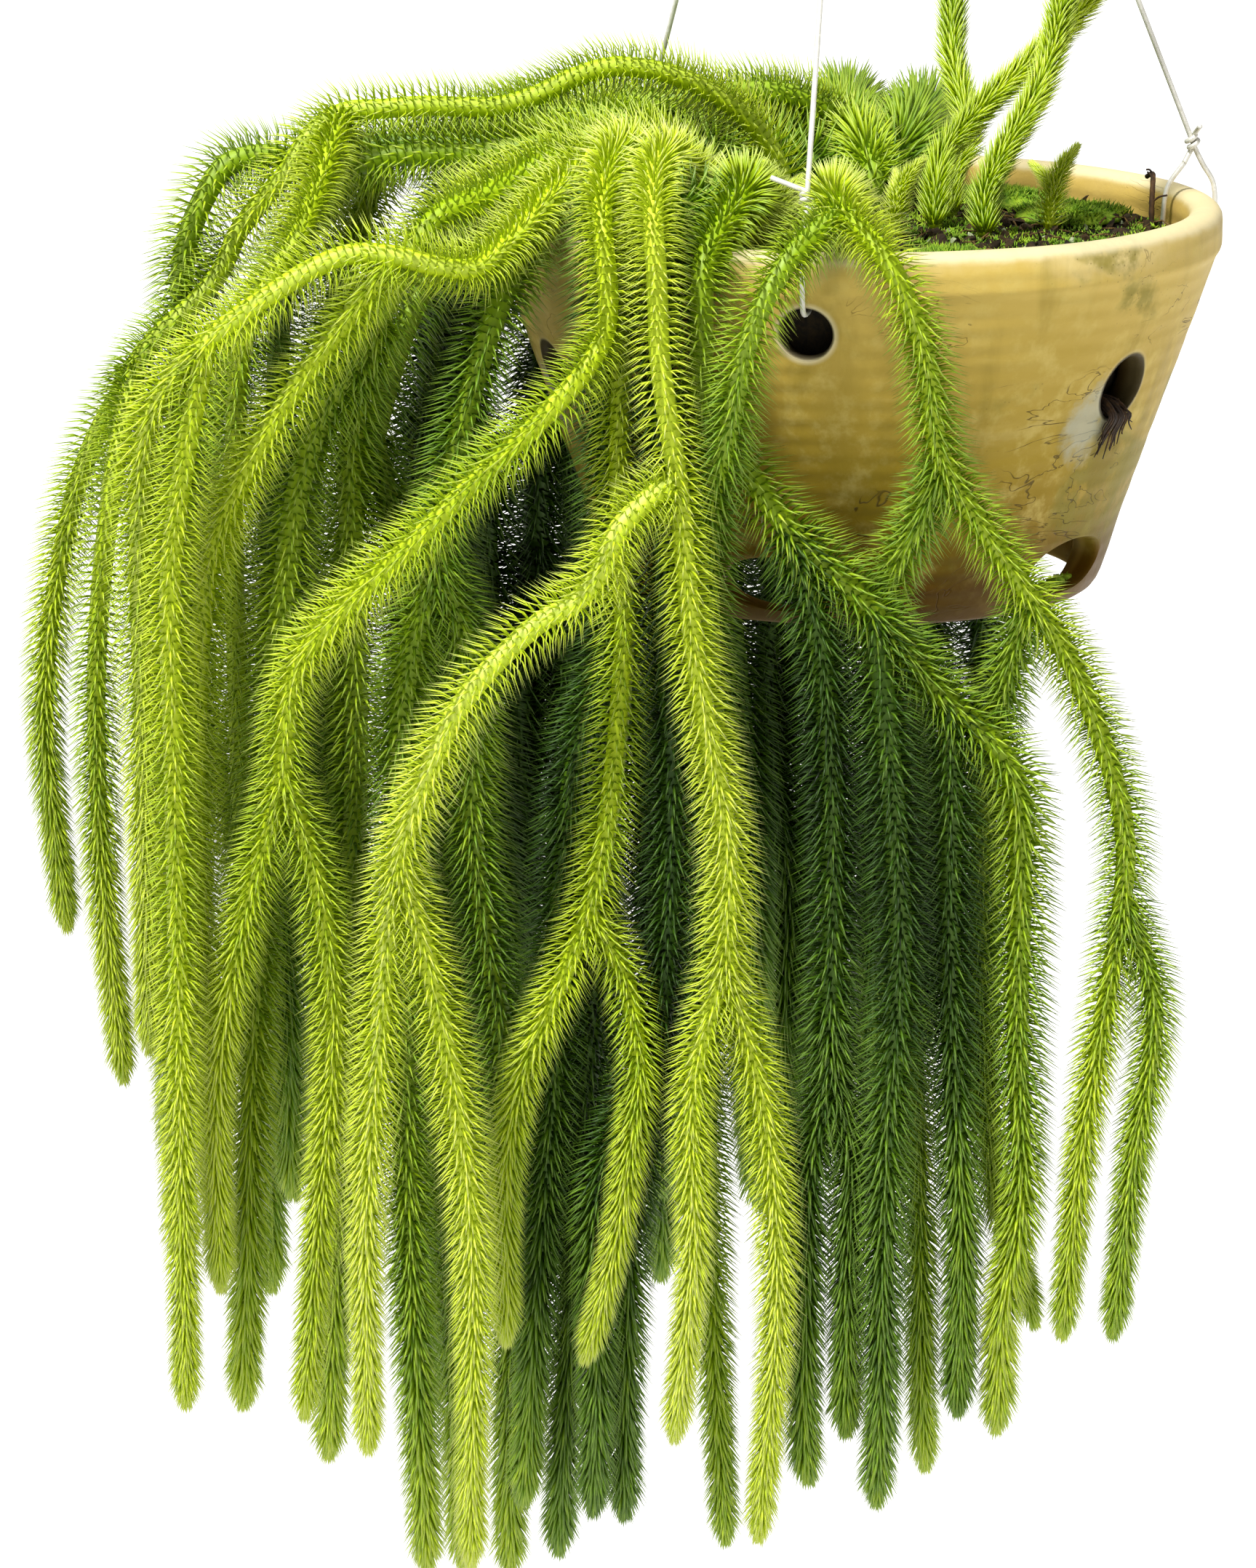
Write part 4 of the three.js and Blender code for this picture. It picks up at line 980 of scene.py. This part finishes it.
def build_soil():
    """The soil's body: a lumpy top that sags toward the wall, and a rough side behind the holes."""
    sides = 120
    top_edge = float(inner_radius(SOIL_TOP)) - 0.4
    rows = [circle(radius, GRAIN_PLANE, sides) for radius in np.linspace(0.5, top_edge, 52)]
    for row in rows:
        for k, (x, y, height) in enumerate(row):
            sag = 1.2 * smoothstep((math.hypot(x, y) - 80) / 18)
            row[k] = (x, y, height + relief(x, y) - sag)
    turns = ring_turns(sides)
    for height in np.linspace(-13, BASE_TOP + 0.5, 26):
        radius = float(inner_radius(height)) - 0.6
        row = []
        for t in turns:
            hollow = abs(noise.noise(Vector((math.sin(t) * 9, math.cos(t) * 9, height * 0.35)))) * 1.8
            row.append(((radius - hollow) * math.sin(t), -(radius - hollow) * math.cos(t), height))
        rows.append(row)
    faces = closed_rings(len(rows), sides)[:, ::-1]
    soil = mesh_piece("soil_mix", np.array(rows).reshape(-1, 3), faces, SOIL, "bark_mix", ["soil"])
    face_outwards(soil.data)


def lump(centre, sizes, roughness=0.25):
    """A small rounded grain with uneven faces."""
    work = bmesh.new()
    bmesh.ops.create_icosphere(work, subdivisions=2, radius=1.0)
    work.verts.ensure_lookup_table()
    points = np.array([vert.co[:] for vert in work.verts])
    faces = np.array([[vert.index for vert in face.verts] for face in work.faces])
    work.free()
    points *= 1 + RANDOM.uniform(-roughness, roughness, (len(points), 1))
    spin, _ = np.linalg.qr(RANDOM.normal(size=(3, 3)))
    return points * np.asarray(sizes) @ spin + centre, faces


def on_soil(rise, reach=93.0):
    """A random place on the soil, risen a little."""
    radius = reach * math.sqrt(RANDOM.uniform())
    x, y, _ = polar(RANDOM.uniform(0, 360), radius, 0)
    return np.array([x, y, GRAIN_PLANE + relief(x, y) + rise])


def build_litter():
    bark = [lump(on_soil(0.3), RANDOM.uniform((1.5, 1.0, 0.5), (4.6, 2.8, 1.3)), 0.3) for _ in range(420)]
    mesh_piece("bark_chips", *joined(bark), BARK, "bark_mix", smooth=False)
    flecks = [lump(on_soil(0.5), RANDOM.uniform(0.5, 1.5, 3)) for _ in range(150)]
    mesh_piece("pale_grit", *joined(flecks), GRIT, "bark_mix", smooth=False)
    fibres = []
    for _ in range(420):
        start = on_soil(0.6, 88)
        way = polar(RANDOM.uniform(0, 360), RANDOM.uniform(4, 13), 0)
        rise = RANDOM.uniform(0.2, 2.4)
        bow = [RANDOM.normal(0, 1.5), RANDOM.normal(0, 1.5), rise]
        knots = [start, start + way * 0.5 + bow, start + way]
        fibres.append(tube(spaced(knots, 3.0), RANDOM.uniform(0.14, 0.34), 4))
    mesh_piece("coir_fibres", *joined(fibres), FIBRE, "bark_mix")


def blades(bases, ways, length, width):
    """Short needles that stand the given ways, for moss."""
    along = unit(ways)
    out = unit(np.cross(along, RANDOM.normal(size=along.shape)))
    count = len(bases)
    angle = np.radians(RANDOM.uniform(5, 40, count))
    sizes = length * RANDOM.uniform(0.6, 1.2, count)
    angles = np.stack([angle, angle + RANDOM.uniform(-0.5, 0.6, count)])
    return needles(bases, along, out, sizes, angles, np.full(count, width), np.ones(count))[:2]


def build_moss(name, at, radius, height):
    """A cushion: a dome under a pile of short blades."""
    centre = on_plan([*at, 0])
    spots = RANDOM.uniform(-1, 1, (CUSHION_BLADES * 2, 2))
    spots = spots[np.hypot(*spots.T) < 1][:CUSHION_BLADES]
    edge = 1 + 0.2 * np.sin(3 * np.arctan2(*spots.T) + radius)
    x, y = (centre[:2] + spots * (radius * edge)[:, None]).T
    swell = np.sqrt(np.clip(1 - (spots**2).sum(1), 0, 1)) * (height - 1.0)
    swell += np.array([noise.noise(Vector((a * 0.25, b * 0.25, 1))) for a, b in zip(x, y)])
    bases = np.stack([x, y, GROUND + 0.2 + swell * 0.8], 1)
    ways = np.stack([spots[:, 0] * 0.7, spots[:, 1] * 0.7, np.ones(len(spots))], 1)
    ways += RANDOM.normal(0, 0.25, (len(spots), 3))
    turns = ring_turns(CUSHION_SIDES)
    rows = []
    for share in (0.0, 0.3, 0.55, 0.75, 0.9, 0.98):
        ring = radius * math.sqrt(1 - share**2)
        level = np.full(CUSHION_SIDES, GROUND + (height - 1.2) * share)
        rows.append(np.stack([centre[0] + ring * np.cos(turns), centre[1] + ring * np.sin(turns), level], 1))
    dome = (np.concatenate(rows), closed_rings(len(rows), CUSHION_SIDES))
    points, faces = joined([dome, blades(bases, ways, 2.6, 0.55)])
    mesh_piece(name + "_cushion", points, faces, MOSS, "moss", [name])


def build_crumbs():
    """Moss that has spread in crumbs over the soil, and a little of it in the foot opening at the right."""
    spots = [on_soil(0.4, 94.0) for _ in range(5200)]
    spots = [spot for spot in spots if noise.noise(Vector(spot * 0.055) + Vector((5, 0, 0))) > -0.06]
    bases = np.repeat(np.array(spots), 4, axis=0) + RANDOM.normal(0, 0.5, (len(spots) * 4, 3)) * (1, 1, 0.3)
    ways = RANDOM.normal(0, 0.55, (len(bases), 3)) + [0, 0, 1]
    grains = []
    for turn, rise in ((-6, 0.2), (-2.5, 0.8), (1.5, 0.6), (5, 0.9), (8.5, 0.3)):
        place = polar(ARCH_FIRST + turn, FOOT_RADIUS - 2.2, -POT_HEIGHT + ARCH_LIP + rise)
        sizes = RANDOM.uniform(1.4, 2.6, 3)
        grain = lump(place, sizes)
        way = unit(grain[0][::2] - place)
        grains += [grain, blades(place + way * sizes.min() * 0.9, way, 1.6, 0.5)]
    mesh_piece("moss_crumbs", *joined([blades(bases, ways, 2.1, 0.6), *grains]), MOSS, "moss")


def build_sprout(name, at, lean, tone):
    height = 24.0
    base = on_plan([*at, 0])
    base[2] = GROUND

    def up(sideways, share):
        return base + polar(lean, sideways, height * share)

    main = leafy([base, up(0.5, 0.35), up(4, 0.75), up(9, 1)], tone, 0.62, 30.0, 2.0)
    side_end = base + polar(lean + 110, 6, height * 0.8)
    side = leafy([up(1, 0.3), base + polar(lean, 2, height * 0.5), side_end], tone + 0.08, 0.55, 25.0, 2.0)
    shoot_piece(name + "_leafy", [main, side], name)


def build_twig():
    radius = float(inner_radius(SOIL_TOP)) - 9
    bend = ((96, 0, -1), (96, 0, 7.5), (97, 0.5, 12.7), (100, 1.5, 15), (103, 1.2, 13.5))
    line = spaced([polar(azimuth, radius + out, GROUND + rise) for azimuth, out, rise in bend], 1.2)
    knots = 0.75 + 0.22 * np.abs(np.sin(np.arange(len(line)) * 1.1)) * np.linspace(1, 0.3, len(line))
    parts = [tube(line, knots, 8)]
    for share, turn, size in ((0.35, 60, 5.0), (0.6, 200, 4.0), (0.8, 320, 3.0)):
        start = line[int(share * len(line))]
        tip = start + polar(turn, size, size * 0.5)
        parts.append(tube(spaced([start, (start + tip) / 2 + [0, 0, 0.6], tip], 0.8), 0.32, 5))
    mesh_piece("dry_twig", *joined(parts), ROOT, "roots", ["twig"])


def build_roots():
    """Roots that have grown out of the vent, over its lower lip and down the wall."""
    azimuth, low = VENT_AZIMUTHS[0], -VENT_DEPTH - VENT_RADIUS
    wall = float(outer_radius(low))
    parts = []
    for k in range(26):
        side = RANDOM.uniform(-5.5, 5.5)
        drop = RANDOM.uniform(3, 17) * (1 - abs(side) / 9)
        lift = RANDOM.uniform(0.6, 4.5)
        turn = math.degrees(side / wall)
        fan = turn * RANDOM.uniform(1.0, 2.2)
        knots = [
            polar(azimuth + turn * 0.4, wall - 7, low + 2 + lift),
            polar(azimuth + turn * 0.8, wall - 1, low + 1.6 + lift * 0.7),
            polar(azimuth + turn, wall + 2.2, low + 0.6),
            polar(azimuth + (turn + fan) / 2, float(outer_radius(low - drop / 2)) + 1.3, low - drop / 2),
            polar(azimuth + fan, float(outer_radius(low - drop)) + RANDOM.uniform(0.6, 2.4), low - drop),
        ]
        line = spaced(knots, 1.3)
        parts.append(tube(line, np.linspace(RANDOM.uniform(0.4, 0.75), 0.16, len(line)), 5))
    for _ in range(30):
        turn, depth, rise = RANDOM.uniform(-3.2, 3.2), RANDOM.uniform(1.0, 6), RANDOM.uniform(0.9, 3.6)
        centre = polar(azimuth + turn, wall - depth, low + rise)
        parts.append(lump(centre, RANDOM.uniform(0.6, 1.7, 3), 0.35))
    mesh_piece("vent_roots", *joined(parts), ROOT, "roots", ["root_tuft"])


# Wires and hook -------------------------------------------------------------------------------


def arc(centre, radius, start, end, count):
    turns = np.radians(np.linspace(start, end, count))
    return [np.array([radius * math.cos(t), 0, centre + radius * math.sin(t)]) for t in turns]


def build_wires():
    names = ("wire_front", "wire_right", "wire_back")
    for name, path, azimuth in zip(names, WIRE_PATHS, HANG_AZIMUTHS):
        leave, twist = path[7], path[11]
        way = unit(leave - twist)
        first = unit(np.cross(way, outward(azimuth)))
        second = np.cross(way, first)

        def coil(start, rise, turns):
            angles = np.linspace(0, turns * 2 * np.pi, int(turns * 14))[:, None]
            round_wire = first * bound * np.cos(angles) + second * bound * np.sin(angles)
            return start + way * rise * angles / angles[-1] + round_wire

        bound = 2 * WIRE_RADIUS + 0.05
        stem = spaced(path[:-3], 1.5)
        wrap = coil(twist + way * 0.5, 3.6, 1.8)
        tail_way = unit(path[-1] - path[-2]) * TAIL + way * 4
        tail = [wrap[-1] + tail_way * share for share in (0.25, 0.6, 1.0)]
        lead = (path[-4] + wrap[0]) / 2 + unit(wrap[0] - path[-4]) * 0.3
        loose = spaced([path[-4], lead, *wrap, *tail], 0.7)
        upper = spaced(coil(leave - way * 12.5, 9.0, 4.5), 0.7)
        parts = [tube(stem, WIRE_RADIUS, 10), *(tube(line, WIRE_RADIUS * 0.98, 8) for line in (loose, upper))]
        mesh_piece(name + "_drawn", *joined(parts), WIRE, "steel_wire", [name])


def build_hook():
    path = [*arc(HOOK_UPPER, UPPER_BEND, -35, 180, 30), *arc(HOOK_LOWER, LOWER_BEND, 0, -205, 26)]
    line = spaced(path, 1.0)
    radii = np.full(len(line), HOOK_RADIUS)
    radii[:2] = radii[-2:] = HOOK_RADIUS * 0.8
    mesh_piece("s_hook", *tube(line, radii, 16), WIRE, "steel_wire", ["hook"])


# Stage ----------------------------------------------------------------------------------------


def build_stage():
    """A pale floor far below, a soft sun, an even sky and the photo's camera. Lengths are metres."""
    half, drop = 60.0, 1.5
    mesh = bpy.data.meshes.new("floor")
    corners = [(x * half, y * half, RIM - drop) for x, y in ((-1, -1), (1, -1), (1, 1), (-1, 1))]
    mesh.from_pydata(corners, [], [(0, 1, 2, 3)])
    floor = bpy.data.objects.new("floor", mesh)
    bpy.context.scene.collection.objects.link(floor)
    paint = Shader("pale_floor")
    mesh.materials.append(paint.surface(rgb("F4F4F2"), 0.9))

    sun = bpy.data.lights.new("key", "SUN")
    sun.energy = 4.6
    sun.angle = math.radians(14)
    key = bpy.data.objects.new("key", sun)
    key.rotation_euler = (math.radians(34), 0, math.radians(-32))
    bpy.context.scene.collection.objects.link(key)

    world = bpy.data.worlds.new("studio")
    world.use_nodes = True
    background = world.node_tree.nodes["Background"]
    background.inputs[0].default_value = (1.0, 0.98, 0.94, 1.0)
    background.inputs[1].default_value = 0.32
    bpy.context.scene.world = world

    lens = bpy.data.cameras.new("camera")
    lens.sensor_fit = "VERTICAL"
    lens.sensor_height = 24.0
    lens.lens = lens.sensor_height / 2 / math.tan(math.radians(14.88) / 2)
    lens.clip_end = 200.0
    camera = bpy.data.objects.new("camera", lens)
    camera.location = (-0.069, -1.8, RIM + 0.262)
    camera.rotation_euler = (math.radians(90 - 13.82), 0, 0)
    bpy.context.scene.collection.objects.link(camera)
    bpy.context.scene.camera = camera
    bpy.context.scene.view_settings.view_transform = "Standard"


# Assembly -------------------------------------------------------------------------------------

EYE_TURNS = (0, EYE_SPREAD, -EYE_SPREAD)
WIRE_PATHS = [wire_path(azimuth, turn) for azimuth, turn in zip(HANG_AZIMUTHS, EYE_TURNS)]
LEAF = leaf_material()
POT = pot_material()
SOIL = soil_material("bark_mix", "0E0A05", "30260F")
BARK = soil_material("bark_chip", "1C140A", "4C3A1E", 260.0)
FIBRE = soil_material("coir", "4A3418", "8E7240", 700.0)
GRIT = soil_material("pale_grit", "8E9A6C", "D4DCB4", 900.0)
MOSS = moss_material()
WIRE = wire_material()
ROOT = root_material()

MOSSES = (
    ("moss_left", (-22, 72), 15, 5), ("moss_middle", (46, 60), 15, 5), ("moss_right", (66, 26), 17, 5),
    ("moss_front", (24, -62), 14, 4),
)
SPROUTS = (
    ("sprout_left", (-24, -24), -30, 0.7), ("sprout_middle", (10, -20), 60, 0.75),
    ("sprout_right", (58, 0), 120, 0.7),
)

# How bright each shoot's green is, from 0 to 1; the low values of the shoots under the front and behind are
# painted shade. Those not named are the oldest, behind, with long leaves, and their dark tone is painted
# shade.
BACK_PAINTED_SHADE, BACK_SIZE, FULL_SIZE = 0.15, 1.35, 1.15
FORK_PAINTED_SHADE = {"shoot_right_arch": 0.14, "shoot_diagonal": 0.33}  # painted shade: these shoots' forks hang in shade and are painted darker
FULLER = {
    "shoot_second_row", "shoot_back_ridge", "shoot_back_arch", "shoot_left_mid", "shoot_left_side",
    "shoot_back_8", "shoot_back_9", "shoot_under_left", "shoot_under_middle", "shoot_diagonal",
}
BRIGHTNESS = {
    "shoot_front": 0.86, "shoot_left_front": 0.72, "shoot_centre": 0.7, "shoot_right_arch": 0.6,
    "shoot_diagonal": 0.52, "shoot_horizontal": 0.74, "shoot_second_row": 0.56, "shoot_ridge": 0.62,
    "shoot_back_ridge": 0.5, "shoot_back_arch": 0.45, "shoot_left_mid": 0.45, "shoot_left_side": 0.45,
    "shoot_under_left": 0.2, "shoot_under_middle": 0.12, "upright_leaning": 0.58, "upright_right": 0.46,
    "upright_straight": 0.5, "shoot_back_8": 0.3, "shoot_back_9": 0.45,
}

build_stage()
build_pot()
build_soil()
build_litter()
build_wires()
build_hook()
build_roots()
build_twig()
for moss in MOSSES:
    build_moss(*moss)
build_crumbs()
for sprout in SPROUTS:
    build_sprout(*sprout)

strands = plant_strands()
settle(strands)
by_shoot = {}
for strand in strands:
    shoot, forked = strand["shoot"], strand["parent"] is not None
    # The tone holds painted shade for the shoots under the front and behind.
    tone = BRIGHTNESS.get(shoot, BACK_PAINTED_SHADE)
    # Forks of these shoots get painted shade.
    if forked:
        tone -= FORK_PAINTED_SHADE.get(shoot, 0)
    size = FULL_SIZE if shoot in FULLER else 1.0 if shoot in BRIGHTNESS else BACK_SIZE
    open_length = UPRIGHT_OPEN_LENGTH if shoot.startswith("upright") else OPEN_LENGTH
    made = leafy(strand["points"], tone, size, open_length, 3.0 if forked else 1.0)
    by_shoot.setdefault(shoot, []).append(made)
for name, made in by_shoot.items():
    shoot_piece(name + "_leafy", made, name)
